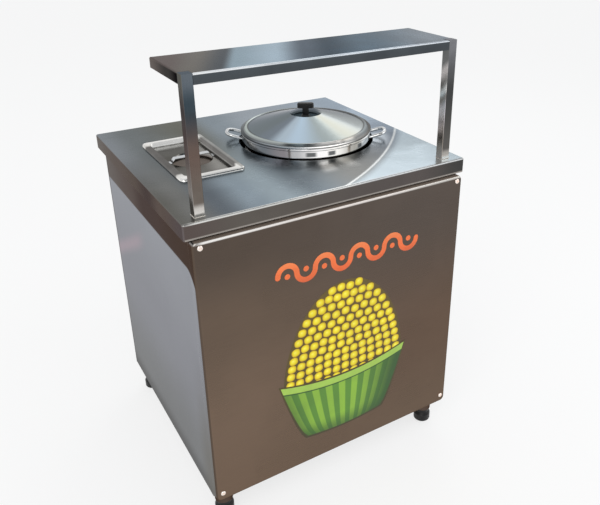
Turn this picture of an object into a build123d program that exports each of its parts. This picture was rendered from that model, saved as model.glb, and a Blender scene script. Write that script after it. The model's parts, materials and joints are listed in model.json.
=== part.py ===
from build123d import *
import math
import os

os.makedirs("parts", exist_ok=True)

# Sweet corn serving machine, in millimetres, +Z up. X runs along the serving side, which faces -Y,
# and the operator stands at +Y. The origin is on the floor under the middle of the overall box.

# Worktop
top_width = 800.0
top_depth = 735.0
top_height = 910.0
top_sheet = 1.5
top_rim = 40.0
top_hem = 8.0
top_corner = 6.0
top_bend = 4.0

# Cabinet body and its tube frame
sheet = 1.2
bend = 2.0
side_inset = 13.0
front_inset = 14.0
back_inset = 29.0
tube = 30.0
tube_wall = 1.5
tube_corner = 3.0
burner_drop = 310.0
shelf_lip = 25.0

# Front panel and its screws
panel_proud = 11.0
panel_bend = 6.0
panel_corner = 15.0
panel_gap = 3.0
screw_from_side = 18.0
screw_from_top = 15.0
screw_from_bottom = 26.0
screw_radius = 2.5
screw_head_radius = 7.0
screw_head = 3.4
screw_head_round = 2.9
screw_cross_length = 6.4
screw_cross_width = 1.4
screw_cross_depth = 1.6
screw_bite = 6.0
screw_clearance = 0.3
spacer_wall = 3.0

# Feet
foot_height = 95.0
foot_from_side = 52.0
foot_from_end = 32.0
leg_plate = 60.0
leg_plate_thick = 4.0
sleeve_radius = 25.0
sleeve_wall = 3.0
bush_height = 12.0
stud_radius = 6.0
stud_length = 38.0
pad_height = 46.0
pad_radius = 26.0
pad_neck_radius = 20.0
pad_band = 24.0
pad_shoulder = 8.0
pad_round = 5.0
stud_clearance = 0.3

# Overshelf
shelf_rise = 318.0
shelf_inset = 37.0
shelf_setback = 22.0
shelf_depth = 202.0
shelf_rim = 24.0
shelf_bend = 3.5
shelf_hem = 8.0
post = 25.0
post_wall = 1.5

# Pot, its handles and its place in the worktop
pot_from_left = 520.0
pot_from_front = 379.0
well_clearance = 11.0
well_collar = 12.0
pot_radius = 186.0
pot_wall = 1.5
pot_base = 5.0
pot_base_round = 14.0
pot_height = 200.0
pot_rise = 30.0
pot_rim = 4.0
pot_rim_height = 8.0
pot_rim_round = 2.4
handle_turn = -30.0
handle_rod = 5.0
handle_half_width = 28.0
handle_reach = 52.0
handle_tilt = 16.0
handle_bend = 21.0
handle_rise = 6.0
handle_plate_height = 20.0
handle_plate_width = 90.0
handle_plate = 2.0
weld_gap = 0.05

# Pot lid and knob
lid_sheet = 1.2
lid_edge = 2.5
lid_flange_width = 9.0
lid_flange_rise = 4.0
lid_bead_inset = 15.0
lid_bead_rise = 12.0
lid_bead_round = 3.0
lid_groove = 3.0
lid_groove_width = 6.0
lid_crown_radius = 46.0
lid_crown_rise = 46.0
lid_dish_radius = 38.0
lid_dish_rise = 37.0
lid_lip = 2.0
lid_lip_wall = 1.5
lid_lip_clearance = 3.0
knob_height = 38.0
knob_bar_length = 48.0
knob_bar_width = 20.0
knob_bar_height = 14.0
knob_bar_round = 4.0
knob_stem_radius = 9.5
knob_foot_radius = 14.0
knob_screw_radius = 3.0
knob_screw_head_radius = 6.0
knob_screw_head = 3.0
knob_screw_round = 1.5
knob_screw_depth = 22.0

# Third-size pan and its lid
pan_from_left = 172.0
pan_from_front = 396.0
pan_width = 176.0
pan_length = 325.0
pan_corner = 18.0
pan_edge_corner = 14.0
pan_flange_width = 12.0
pan_flange = 1.0
pan_depth = 100.0
pan_draft = 4.0
pan_sheet = 0.8
pan_round = 9.0
pan_cutout_clearance = 2.0
cover_sheet = 1.0
cover_bead = 7.0
cover_bead_round = 5.0
cover_plug = 8.0
cover_plug_clearance = 2.0
cover_plug_round = 5.0
cover_dish_radius = 58.0
cover_dish_depth = 9.0
cover_handle_span = 100.0
cover_handle_width = 18.0
cover_handle_strip = 2.0
cover_handle_rise = 13.0
cover_handle_foot = 9.0

# Pot stand and ring burner
stand_radius = 158.0
stand_bar = 8.0
stand_ring_height = 12.0
stand_fin = 4.0
stand_fin_height = 12.0
stand_fin_inner = 60.0
stand_leg_width = 30.0
stand_legs = 4
stand_turn = 45.0
burner_radius = 95.0
burner_inner_radius = 55.0
burner_wall = 4.0
burner_trough = 22.0
burner_cap = 6.0
burner_cap_lip = 2.0
burner_cap_chamfer = 2.0
burner_cap_clearance = 0.3
burner_below_pot = 50.0
port_radius = 1.75
outer_ports = 24
inner_ports = 12
outer_port_inset = 9.0
inner_port_inset = 9.0
mixer_radius = 11.0
mixer_bore = 8.0
mixer_reach = 190.0
bell_radius = 18.0
bell_length = 24.0
burner_legs = 3
burner_leg_radius = 6.0
burner_leg_turn = -90.0

# Gas valve, pipe and hose tail
injector_radius = 6.0
injector_tip_radius = 3.5
injector_length = 26.0
injector_entry = 5.0
gas_pipe_radius = 5.0
gas_pipe_wall = 1.0
valve_radius = 13.0
valve_length = 80.0
valve_port_inset = 24.0
valve_chamfer = 3.0
valve_boss = 4.0
spindle_radius = 4.0
spindle_flat = 1.0
spindle_reach = 20.0
spindle_depth = 30.0
spindle_fit = 0.05
spindle_clearance = 1.0
hose_tail_length = 120.0
hose_spigot_length = 40.0
hose_spigot_radius = 4.5
hose_spigot_chamfer = 1.0
hose_stem_radius = 6.0
hose_tail_bore = 2.5
hose_nut_radius = 9.0
hose_nut_height = 10.0
hose_port_clearance = 6.0
valve_knob_radius = 22.0
valve_knob_height = 22.0
valve_knob_gap = 1.0
valve_knob_grip = 9.0
valve_knob_round = 1.5
knob_fit = 0.1

# Back fascia, door, hinges, catch and handle
fascia_depth = 20.0
fascia_side_gap = 1.0
vent_length = 70.0
vent_width = 7.0
vent_pitch = 20.0
vent_count = 8
vent_from_side = 180.0
vent_from_top = 110.0
door_gap = 2.0
door_depth = 20.0
hinge_from_end = 70.0
hinge_height = 60.0
hinge_leaf = 24.0
hinge_plate = 2.0
hinge_knuckle_radius = 3.6
hinge_pin_radius = 2.0
hinge_pin_clearance = 0.1
hinge_lift = 0.4
hinge_split_clearance = 0.4
hinge_pin_head = 1.5
hinge_pin_head_radius = 3.2
hinge_screw_radius = 2.0
door_handle_span = 128.0
door_handle_rod = 4.0
door_handle_reach = 28.0
door_handle_bend = 12.0
door_handle_foot_radius = 8.0
door_handle_foot = 2.0
door_handle_from_edge = 60.0
catch_length = 44.0
catch_width = 15.0
catch_depth = 14.0
catch_gap = 0.3
strike_length = 36.0
strike_width = 12.0
strike_thick = 1.5

# Places worked out from the sizes above
top_front = -(top_depth - panel_proud - screw_head) / 2
top_back = top_front + top_depth
top_mid = top_front + top_depth / 2
top_under = top_height - top_sheet
rim_low = top_height - top_rim
body_side = top_width / 2 - side_inset
body_front = top_front + front_inset
body_back = top_back - back_inset
body_mid = (body_front + body_back) / 2
frame_side = body_side - sheet
frame_front = body_front + sheet
frame_back = body_back - sheet
tube_bore = tube - 2 * tube_wall
bay_side = frame_side - tube
bay_front = frame_front + tube
bay_back = frame_back - tube
floor_level = foot_height + tube
burner_level = top_height - burner_drop
well_radius = pot_radius + well_clearance
pot_rim_radius = pot_radius + pot_rim
pot_x = pot_from_left - top_width / 2
pot_y = top_front + pot_from_front
pan_x = pan_from_left - top_width / 2
pan_y = top_front + pan_from_front
panel_face = top_front - panel_proud
panel_depth = body_front - panel_face
panel_high = rim_low - panel_gap
screw_x = body_side - screw_from_side
screw_low = foot_height + screw_from_bottom
screw_high = panel_high - screw_from_top
screw_points = [(side * screw_x, z) for side in (-1, 1) for z in (screw_low, screw_high)]
screw_hole = screw_radius + screw_clearance
sides = (("left", -1), ("right", 1))


def save(builder, name):
    builder.part.label = name
    export_step(builder.part, f"parts/{name}.step")


# Worktop: one folded sheet, rim turned down and hemmed, with a collared pot well and a pan cut-out
pan_mouth_width = pan_width - 2 * pan_flange_width
pan_mouth_length = pan_length - 2 * pan_flange_width
hem_in = 2 * (top_sheet + top_hem)
with BuildPart() as worktop:
    with BuildSketch(Plane.XY.offset(rim_low)):
        with Locations((0, top_mid)):
            RectangleRounded(top_width, top_depth, top_corner)
    extrude(amount=top_rim)
    fillet(worktop.faces().sort_by(Axis.Z)[-1].edges(), top_bend)
    offset(amount=-top_sheet, openings=worktop.faces().sort_by(Axis.Z)[0])
    with BuildSketch(Plane.XY.offset(rim_low)):
        with Locations((0, top_mid)):
            RectangleRounded(top_width, top_depth, top_corner)
            Rectangle(top_width - hem_in, top_depth - hem_in, mode=Mode.SUBTRACT)
    extrude(amount=top_sheet)
    with BuildSketch(Plane.XY.offset(top_under - well_collar)):
        with Locations((pot_x, pot_y)):
            Circle(well_radius + top_sheet)
    extrude(amount=well_collar)
    with BuildSketch(Plane.XY.offset(top_under - well_collar)):
        with Locations((pot_x, pot_y)):
            Circle(well_radius)
        with Locations((pan_x, pan_y)):
            RectangleRounded(
                pan_mouth_width + 2 * pan_cutout_clearance,
                pan_mouth_length + 2 * pan_cutout_clearance,
                pan_corner,
            )
    extrude(amount=top_sheet + well_collar, mode=Mode.SUBTRACT)
save(worktop, "worktop")

# Front panel: a shallow tray with rounded edges that stands a little ahead of the worktop's edge
with BuildPart() as front_panel:
    with BuildSketch(Plane.XZ.offset(-body_front)):
        with Locations((0, (foot_height + panel_high) / 2)):
            RectangleRounded(2 * body_side, panel_high - foot_height, panel_corner)
    extrude(amount=panel_depth)
    fillet(front_panel.faces().sort_by(Axis.Y)[0].edges(), panel_bend)
    offset(amount=-sheet, openings=front_panel.faces().sort_by(Axis.Y)[-1])
    with BuildSketch(Plane.XZ.offset(-body_front)):
        with Locations(*screw_points):
            Circle(screw_hole)
    extrude(amount=panel_depth, mode=Mode.SUBTRACT)
save(front_panel, "front_panel")

# Spacers that hold the front panel's face off the frame at its four screws
with BuildPart() as front_panel_spacers:
    with BuildSketch(Plane.XZ.offset(-body_front)):
        with Locations(*screw_points):
            Circle(screw_hole + spacer_wall)
            Circle(screw_hole, mode=Mode.SUBTRACT)
    extrude(amount=panel_depth - sheet)
save(front_panel_spacers, "front_panel_spacers")

# Round-headed cross-slot screws of the front panel
screw_shank = panel_depth + sheet + tube_wall + screw_bite
with BuildPart() as front_panel_screws:
    with BuildSketch(Plane.XZ.offset(-panel_face)):
        with Locations(*screw_points):
            Circle(screw_radius)
    extrude(amount=-screw_shank)
    with BuildSketch(Plane.XZ.offset(-panel_face)):
        with Locations(*screw_points):
            Circle(screw_head_radius)
    extrude(amount=screw_head)
    head_faces = front_panel_screws.faces().filter_by(Axis.Y).group_by(Axis.Y)[0]
    fillet(head_faces.edges(), screw_head_round)
    with BuildSketch(Plane.XZ.offset(screw_head - panel_face)):
        with Locations(*screw_points):
            Rectangle(screw_cross_length, screw_cross_width)
            Rectangle(screw_cross_width, screw_cross_length)
    extrude(amount=-screw_cross_depth, mode=Mode.SUBTRACT)
save(front_panel_screws, "front_panel_screws")

# Side panels: folded sheets that wrap the front and back of the corner uprights
wrap = sheet + tube
for side, sign in sides:
    with BuildPart() as side_panel:
        with BuildSketch(Plane.XY.offset(foot_height)) as wrap_outline:
            with Locations((sign * (body_side - wrap / 2), body_mid)):
                Rectangle(wrap, body_back - body_front)
            outer_corners = wrap_outline.vertices().sort_by(Axis.X)
            fillet(outer_corners[:2] if sign < 0 else outer_corners[-2:], bend)
            with Locations((sign * (frame_side - tube / 2), body_mid)):
                Rectangle(tube, frame_back - frame_front, mode=Mode.SUBTRACT)
        extrude(amount=top_under - foot_height)
        with BuildSketch(Plane.XZ.offset(-body_front)):
            with Locations((sign * screw_x, screw_low), (sign * screw_x, screw_high)):
                Circle(screw_hole)
        extrude(amount=-sheet, mode=Mode.SUBTRACT)
    save(side_panel, f"{side}_side_panel")

# Corner uprights of the frame, square tube; the front pair takes the front panel's screws
for side, sign in sides:
    for end, upright_y in (("front", frame_front + tube / 2), ("back", frame_back - tube / 2)):
        with BuildPart() as upright:
            with BuildSketch(Plane.XY.offset(foot_height)):
                with Locations((sign * (frame_side - tube / 2), upright_y)):
                    RectangleRounded(tube, tube, tube_corner)
                    RectangleRounded(tube_bore, tube_bore, tube_corner - tube_wall, mode=Mode.SUBTRACT)
            extrude(amount=top_under - foot_height)
            if end == "front":
                with BuildSketch(Plane.XZ.offset(-frame_front)):
                    with Locations((sign * screw_x, screw_low), (sign * screw_x, screw_high)):
                        Circle(screw_hole)
                extrude(amount=-tube / 2, mode=Mode.SUBTRACT)
        save(upright, f"{end}_{side}_upright")

# Frame rails that join the uprights: at the floor, under the worktop and under the burner shelf
rail_z = {"bottom": foot_height + tube / 2, "top": top_under - tube / 2}
for level, z in rail_z.items():
    for end, rail_y in (("front", frame_front + tube / 2), ("back", frame_back - tube / 2)):
        with BuildPart() as cross_rail:
            with BuildSketch(Plane.YZ.offset(-bay_side)):
                with Locations((rail_y, z)):
                    RectangleRounded(tube, tube, tube_corner)
                    RectangleRounded(tube_bore, tube_bore, tube_corner - tube_wall, mode=Mode.SUBTRACT)
            extrude(amount=2 * bay_side)
        save(cross_rail, f"{level}_{end}_rail")
rail_z["middle"] = burner_level - tube / 2
for level, z in rail_z.items():
    for side, sign in sides:
        with BuildPart() as side_rail:
            with BuildSketch(Plane.XZ.offset(-bay_front)):
                with Locations((sign * (frame_side - tube / 2), z)):
                    RectangleRounded(tube, tube, tube_corner)
                    RectangleRounded(tube_bore, tube_bore, tube_corner - tube_wall, mode=Mode.SUBTRACT)
            extrude(amount=-(bay_back - bay_front))
        save(side_rail, f"{level}_{side}_rail")

# Cabinet floor: a flat sheet on the bottom rails, notched round the uprights
with BuildPart() as cabinet_floor:
    with BuildSketch(Plane.XY.offset(floor_level)):
        with Locations((0, body_mid)):
            Rectangle(2 * bay_side, frame_back - frame_front)
            Rectangle(2 * frame_side, bay_back - bay_front)
    extrude(amount=sheet)
save(cabinet_floor, "cabinet_floor")

# Gas line height, which the burner, valve, fascia and burner shelf share
pot_bottom = top_height + pot_rise - pot_height
cap_top = pot_bottom - burner_below_pot
trough_top = cap_top - burner_cap
trough_low = trough_top - burner_trough
gas_z = trough_low + burner_trough / 2
fascia_inside = body_back - sheet
valve_end = fascia_inside - valve_length
inlet_y = valve_end + valve_port_inset

# Burner shelf: a sheet across the middle rails with its front and back edges turned down
with BuildPart() as burner_shelf:
    with BuildSketch(Plane.XY.offset(burner_level)):
        with Locations((0, body_mid)):
            Rectangle(2 * frame_side, bay_back - bay_front)
        with Locations((pot_x, inlet_y)):
            Circle(hose_nut_radius + hose_port_clearance, mode=Mode.SUBTRACT)
    extrude(amount=sheet)
    with BuildSketch(Plane.XY.offset(burner_level)):
        with Locations((0, bay_front + sheet / 2), (0, bay_back - sheet / 2)):
            Rectangle(2 * bay_side, sheet)
    extrude(amount=-shelf_lip)
save(burner_shelf, "burner_shelf")

# Leg sleeves: plate, tube and threaded bush, fixed under the four corners of the frame
foot_x = top_width / 2 - foot_from_side
sleeve_low = pad_height
plate_low = foot_height - leg_plate_thick
feet = [
    (f"{end}_{side}", sign * foot_x, y)
    for side, sign in sides
    for end, y in (("front", body_front + foot_from_end), ("back", body_back - foot_from_end))
]
for place, x, y in feet:
    with BuildPart() as leg_sleeve:
        with BuildSketch(Plane.XY.offset(plate_low)):
            with Locations((x, y)):
                RectangleRounded(leg_plate, leg_plate, bend)
        extrude(amount=leg_plate_thick)
        with BuildSketch(Plane.XY.offset(sleeve_low)):
            with Locations((x, y)):
                Circle(sleeve_radius)
                Circle(sleeve_radius - sleeve_wall, mode=Mode.SUBTRACT)
        extrude(amount=plate_low - sleeve_low)
        with BuildSketch(Plane.XY.offset(sleeve_low)):
            with Locations((x, y)):
                Circle(sleeve_radius - sleeve_wall)
                Circle(stud_radius + stud_clearance, mode=Mode.SUBTRACT)
        extrude(amount=bush_height)
    save(leg_sleeve, f"{place}_leg_sleeve")

# Feet: a round moulded pad on a stud that screws up into the sleeve
for place, x, y in feet:
    with BuildPart() as foot:
        with BuildSketch(Plane.XZ.offset(-y)):
            with BuildLine():
                Polyline(
                    (x, 0),
                    (x + pad_radius, 0),
                    (x + pad_radius, pad_band),
                    (x + pad_neck_radius, pad_band + pad_shoulder),
                    (x + pad_neck_radius, pad_height),
                    (x + stud_radius, pad_height),
                    (x + stud_radius, pad_height + stud_length),
                    (x, pad_height + stud_length),
                    close=True,
                )
            make_face()
        revolve(axis=Axis((x, y, 0), (0, 0, 1)))
        fillet(foot.edges().group_by(Axis.Z)[0], pad_round)
    save(foot, f"{place}_foot")

# Overshelf posts: square tubes closed at the top, standing on the worktop's front corners
shelf_top = top_height + shelf_rise
shelf_half = top_width / 2 - shelf_inset
shelf_front = top_front + shelf_setback
shelf_mid = shelf_front + shelf_depth / 2
post_x = shelf_half - post / 2
post_y = shelf_front + post / 2
for side, sign in sides:
    with BuildPart() as shelf_post:
        with BuildSketch(Plane.XY.offset(top_height)):
            with Locations((sign * post_x, post_y)):
                Rectangle(post, post)
        extrude(amount=shelf_rise)
        fillet(shelf_post.edges().filter_by(Axis.Z), post_wall)
        with BuildSketch(Plane.XY.offset(top_height)):
            with Locations((sign * post_x, post_y)):
                Rectangle(post - 2 * post_wall, post - 2 * post_wall)
        extrude(amount=shelf_rise - post_wall, mode=Mode.SUBTRACT)
    save(shelf_post, f"{side}_shelf_post")

# Overshelf: a folded tray, open below, notched round the posts and hemmed along its rim
shelf_low = shelf_top - shelf_rim
hem_band = 2 * (sheet + shelf_hem)
with BuildPart() as overshelf:
    with BuildSketch(Plane.XY.offset(shelf_low)):
        with Locations((0, shelf_mid)):
            Rectangle(2 * shelf_half, shelf_depth)
        with Locations((-post_x, post_y), (post_x, post_y)):
            Rectangle(post, post, mode=Mode.SUBTRACT)
    extrude(amount=shelf_rim)
    fillet(overshelf.faces().sort_by(Axis.Z)[-1].edges(), shelf_bend)
    offset(amount=-sheet, openings=overshelf.faces().sort_by(Axis.Z)[0])
    with BuildSketch(Plane.XY.offset(shelf_low)):
        with Locations((0, shelf_mid)):
            Rectangle(2 * shelf_half, shelf_depth)
            Rectangle(2 * shelf_half - hem_band, shelf_depth - hem_band, mode=Mode.SUBTRACT)
        with Locations((-post_x, post_y), (post_x, post_y)):
            Rectangle(post, post, mode=Mode.SUBTRACT)
    extrude(amount=sheet)
save(overshelf, "overshelf")

# Pot: a drawn round vessel with a thick base and a rolled rim that stands above the worktop
pot_top = top_height + pot_rise
pot_mouth = pot_radius - pot_wall
pot_axis = Axis((pot_x, pot_y, 0), (0, 0, 1))
with BuildPart() as pot:
    with BuildSketch(Plane.XZ.offset(-pot_y)):
        with BuildLine():
            Polyline(
                (pot_x, pot_bottom),
                (pot_x + pot_radius, pot_bottom),
                (pot_x + pot_radius, pot_top - pot_rim_height),
                (pot_x + pot_rim_radius, pot_top - pot_rim_height),
                (pot_x + pot_rim_radius, pot_top),
                (pot_x + pot_mouth, pot_top),
                (pot_x + pot_mouth, pot_bottom + pot_base),
                (pot_x, pot_bottom + pot_base),
                close=True,
            )
        make_face()
    revolve(axis=pot_axis)
    fillet(pot.edges().group_by(Axis.Z)[0], pot_base_round)
    rim_edges = pot.edges().filter_by(GeomType.CIRCLE).group_by(SortBy.RADIUS)[-1]
    fillet(rim_edges, pot_rim_round)
save(pot, "pot")

# Pot handles: bent rod loops that slope up from the wall, each on a plate curved to it
plate_inner = pot_radius + weld_gap
plate_outer = plate_inner + handle_plate
rod_root = math.sqrt(plate_inner**2 - handle_half_width**2) - handle_rod
rod_reach = pot_radius + handle_reach - handle_rod - rod_root
for side, turn in (("left", handle_turn + 180), ("right", handle_turn)):
    out = Vector(1, 0, 0).rotate(Axis.Z, turn)
    handle_plane = Plane(origin=(pot_x, pot_y, top_height + handle_rise), x_dir=out, z_dir=(0, 0, 1))
    slope = out * math.cos(math.radians(handle_tilt)) + Vector(0, 0, math.sin(math.radians(handle_tilt)))
    across = Vector(0, 0, 1).cross(out)
    rod_start = handle_plane.from_local_coords((rod_root, 0, 0))
    rod_plane = Plane(rod_start, x_dir=slope, z_dir=slope.cross(across))
    with BuildPart() as pot_handle:
        with BuildLine(rod_plane) as rod_line:
            FilletPolyline(
                (0, -handle_half_width),
                (rod_reach, -handle_half_width),
                (rod_reach, handle_half_width),
                (0, handle_half_width),
                radius=handle_bend,
            )
        with BuildSketch(Plane(origin=rod_line.line @ 0, z_dir=rod_line.line % 0)):
            Circle(handle_rod)
        sweep()
        with BuildSketch(handle_plane.offset(-handle_plate_height / 2)):
            Circle(plate_outer)
            Circle(plate_inner, mode=Mode.SUBTRACT)
            with Locations((pot_radius, 0)):
                Rectangle(pot_radius, handle_plate_width, mode=Mode.INTERSECT)
        extrude(amount=handle_plate_height)
        with BuildSketch(handle_plane.offset(-handle_plate_height / 2)):
            Circle(plate_inner)
        extrude(amount=handle_plate_height, mode=Mode.SUBTRACT)
    save(pot_handle, f"{side}_pot_handle")

# Pot lid: a spun cone with a groove, a rolled bead and a flange, a dished centre and a lip in the pot's mouth
lid_bead_radius = pot_rim_radius - lid_bead_inset
lid_flange_radius = pot_rim_radius - lid_flange_width
groove_radius = lid_bead_radius - lid_groove_width
lip_outer = pot_mouth - lid_lip_clearance
lip_inner = lip_outer - lid_lip_wall
bead_slope = (lid_bead_rise - lid_flange_rise) / (lid_flange_radius - lid_bead_radius)
bead_wall = lid_sheet * math.hypot(1, bead_slope)
bead_at_lip = lid_bead_rise - (lip_inner - lid_bead_radius) * bead_slope
lid_outline = [
    (0, lid_dish_rise),
    (lid_dish_radius, lid_dish_rise),
    (lid_crown_radius, lid_crown_rise),
    (groove_radius, lid_bead_rise - lid_groove),
    (lid_bead_radius, lid_bead_rise),
    (lid_flange_radius, lid_flange_rise),
    (pot_rim_radius, lid_edge),
    (pot_rim_radius, 0),
    (lip_outer, 0),
    (lip_outer, -lid_lip),
    (lip_inner, -lid_lip),
    (lip_inner, bead_at_lip - bead_wall),
    (lid_bead_radius, lid_bead_rise - bead_wall),
    (groove_radius, lid_bead_rise - lid_groove - lid_sheet),
    (lid_crown_radius, lid_crown_rise - lid_sheet),
    (lid_dish_radius, lid_dish_rise - lid_sheet),
    (0, lid_dish_rise - lid_sheet),
]
with BuildPart() as pot_lid:
    with BuildSketch(Plane.XZ.offset(-pot_y)):
        with BuildLine():
            Polyline(*[(pot_x + r, pot_top + z) for r, z in lid_outline], close=True)
        make_face()
    revolve(axis=pot_axis)
    crown = pot_lid.edges().filter_by(GeomType.CIRCLE).group_by(Axis.Z)[-1]
    fillet(crown, lid_sheet)
    bead_low = pot_top + lid_bead_rise - lid_sheet / 2
    bead_edges = pot_lid.edges().filter_by_position(Axis.Z, bead_low, bead_low + lid_sheet)
    fillet(bead_edges.filter_by(GeomType.CIRCLE), lid_bead_round)
    with BuildSketch(Plane.XY.offset(pot_top)):
        with Locations((pot_x, pot_y)):
            Circle(knob_screw_radius + screw_clearance)
    extrude(amount=lid_crown_rise, mode=Mode.SUBTRACT)
save(pot_lid, "pot_lid")

# Lid knob: a moulded T-shaped grip, its bar in line with the pot's handles, bored for its screw
knob_low = pot_top + lid_dish_rise
knob_screw_bore = knob_screw_radius + screw_clearance
bar_low = knob_low + knob_height - knob_bar_height
with BuildPart() as lid_knob:
    with BuildSketch(Plane.XZ.offset(-pot_y)):
        with BuildLine():
            Polyline(
                (pot_x, bar_low),
                (pot_x, knob_low),
                (pot_x + knob_foot_radius, knob_low),
                (pot_x + knob_stem_radius, knob_low + knob_foot_radius - knob_stem_radius),
                (pot_x + knob_stem_radius, bar_low),
                close=True,
            )
        make_face()
    revolve(axis=pot_axis)
    with BuildSketch(Plane.XY.offset(bar_low)):
        with Locations((pot_x, pot_y)):
            SlotOverall(knob_bar_length, knob_bar_width, rotation=handle_turn)
    extrude(amount=knob_bar_height)
    fillet(lid_knob.faces().sort_by(Axis.Z)[-1].edges(), knob_bar_round)
    with BuildSketch(Plane.XY.offset(knob_low)):
        with Locations((pot_x, pot_y)):
            Circle(knob_screw_bore)
    extrude(amount=knob_screw_depth + screw_clearance, mode=Mode.SUBTRACT)
save(lid_knob, "lid_knob")

# Screw that holds the knob from inside the lid
dish_under = knob_low - lid_sheet
with BuildPart() as lid_knob_screw:
    with BuildSketch(Plane.XY.offset(dish_under)):
        with Locations((pot_x, pot_y)):
            Circle(knob_screw_head_radius)
    extrude(amount=-knob_screw_head)
    fillet(lid_knob_screw.edges().group_by(Axis.Z)[0], knob_screw_round)
    with BuildSketch(Plane.XY.offset(dish_under)):
        with Locations((pot_x, pot_y)):
            Circle(knob_screw_radius)
    extrude(amount=lid_sheet + knob_screw_depth)
save(lid_knob_screw, "lid_knob_screw")

# Third-size pan: a drawn tapered pan hung by its flange in the worktop's cut-out
hollow_width = pan_mouth_width - 2 * pan_sheet
hollow_length = pan_mouth_length - 2 * pan_sheet
with BuildPart() as pan_hollow:
    with BuildSketch(Plane.XY.offset(top_height + pan_flange)):
        with Locations((pan_x, pan_y)):
            RectangleRounded(hollow_width, hollow_length, pan_corner - pan_sheet)
    extrude(amount=pan_sheet - pan_flange - pan_depth, taper=pan_draft)
    fillet(pan_hollow.faces().sort_by(Axis.Z)[0].edges(), pan_round - pan_sheet)

with BuildPart() as pan:
    with BuildSketch(Plane.XY.offset(top_height)):
        with Locations((pan_x, pan_y)):
            RectangleRounded(pan_mouth_width, pan_mouth_length, pan_corner)
    extrude(amount=-pan_depth, taper=pan_draft)
    fillet(pan.faces().sort_by(Axis.Z)[0].edges(), pan_round)
    with BuildSketch(Plane.XY.offset(top_height)):
        with Locations((pan_x, pan_y)):
            RectangleRounded(pan_width, pan_length, pan_edge_corner)
    extrude(amount=pan_flange)
    add(pan_hollow.part, mode=Mode.SUBTRACT)
save(pan, "pan")

# Pan lid: a pressed cover with a hollow beaded edge, a sunk panel and a round finger dish
cover_low = top_height + pan_flange
plug_width = pan_mouth_width - 2 * (pan_sheet + cover_plug_clearance)
plug_length = pan_mouth_length - 2 * (pan_sheet + cover_plug_clearance)
plug_corner = pan_corner - pan_sheet - cover_plug_clearance
panel_under = cover_low - cover_plug
with BuildPart() as cover_hollow:
    with BuildSketch(Plane.XY.offset(panel_under + cover_sheet)):
        with Locations((pan_x, pan_y)):
            RectangleRounded(
                plug_width - 2 * cover_sheet,
                plug_length - 2 * cover_sheet,
                plug_corner - cover_sheet,
            )
    extrude(amount=cover_plug + cover_bead)
    fillet(cover_hollow.faces().sort_by(Axis.Z)[0].edges(), cover_plug_round - cover_sheet)

with BuildPart() as pan_lid:
    with BuildSketch(Plane.XY.offset(cover_low)):
        with Locations((pan_x, pan_y)):
            RectangleRounded(pan_width, pan_length, pan_edge_corner)
    extrude(amount=cover_bead)
    fillet(pan_lid.faces().sort_by(Axis.Z)[-1].edges(), cover_bead_round)
    offset(amount=-cover_sheet, openings=pan_lid.faces().sort_by(Axis.Z)[0])
    with BuildSketch(Plane.XY.offset(panel_under)):
        with Locations((pan_x, pan_y)):
            RectangleRounded(plug_width, plug_length, plug_corner)
    extrude(amount=cover_plug + cover_bead)
    fillet(pan_lid.faces().sort_by(Axis.Z)[0].edges(), cover_plug_round)
    with BuildSketch(Plane.XY.offset(panel_under - cover_dish_depth)):
        with Locations((pan_x, pan_y)):
            Circle(cover_dish_radius)
    extrude(amount=cover_dish_depth + cover_sheet)
    add(cover_hollow.part, mode=Mode.SUBTRACT)
    with BuildSketch(Plane.XY.offset(panel_under - cover_dish_depth + cover_sheet)):
        with Locations((pan_x, pan_y)):
            Circle(cover_dish_radius - cover_sheet)
    extrude(amount=cover_dish_depth + cover_plug, mode=Mode.SUBTRACT)
save(pan_lid, "pan_lid")

# Pan lid handle: a bowed strip that spans the dish
strip_z = panel_under + cover_sheet
strip_half = cover_handle_span / 2
foot_end = cover_dish_radius + cover_handle_foot
with BuildPart() as pan_lid_handle:
    with BuildSketch(Plane.XZ.offset(-pan_y)):
        with BuildLine():
            Polyline(
                (pan_x - foot_end, strip_z),
                (pan_x - cover_dish_radius, strip_z),
                (pan_x - strip_half, strip_z + cover_handle_rise - cover_handle_strip),
                (pan_x + strip_half, strip_z + cover_handle_rise - cover_handle_strip),
                (pan_x + cover_dish_radius, strip_z),
                (pan_x + foot_end, strip_z),
                (pan_x + foot_end, strip_z + cover_handle_strip),
                (pan_x + cover_dish_radius - cover_handle_strip / 2, strip_z + cover_handle_strip),
                (pan_x + strip_half - cover_handle_strip / 2, strip_z + cover_handle_rise),
                (pan_x - strip_half + cover_handle_strip / 2, strip_z + cover_handle_rise),
                (pan_x - cover_dish_radius + cover_handle_strip / 2, strip_z + cover_handle_strip),
                (pan_x - foot_end, strip_z + cover_handle_strip),
                close=True,
            )
        make_face()
    extrude(amount=cover_handle_width / 2, both=True)
save(pan_lid_handle, "pan_lid_handle")

# Pot stand: a ring on four legs with fins that carry the pot above the burner
stand_ring_low = pot_bottom - stand_fin_height - stand_ring_height / 2
shelf_surface = burner_level + sheet
with BuildPart() as pot_stand:
    with BuildSketch(Plane.XY.offset(stand_ring_low)):
        with Locations((pot_x, pot_y)):
            Circle(stand_radius)
            Circle(stand_radius - stand_bar, mode=Mode.SUBTRACT)
    extrude(amount=stand_ring_height)
    fin_length = stand_radius - stand_fin_inner
    with BuildSketch(Plane.XY.offset(pot_bottom - stand_fin_height)):
        with Locations((pot_x, pot_y)):
            with PolarLocations(stand_fin_inner + fin_length / 2, stand_legs, stand_turn):
                Rectangle(fin_length, stand_fin)
    extrude(amount=stand_fin_height)
    with BuildSketch(Plane.XY.offset(shelf_surface)):
        with Locations((pot_x, pot_y)):
            with PolarLocations(stand_radius - stand_bar / 2, stand_legs, stand_turn):
                Rectangle(stand_bar, stand_leg_width)
    extrude(amount=stand_ring_low + stand_ring_height - shelf_surface)
save(pot_stand, "pot_stand")

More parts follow.
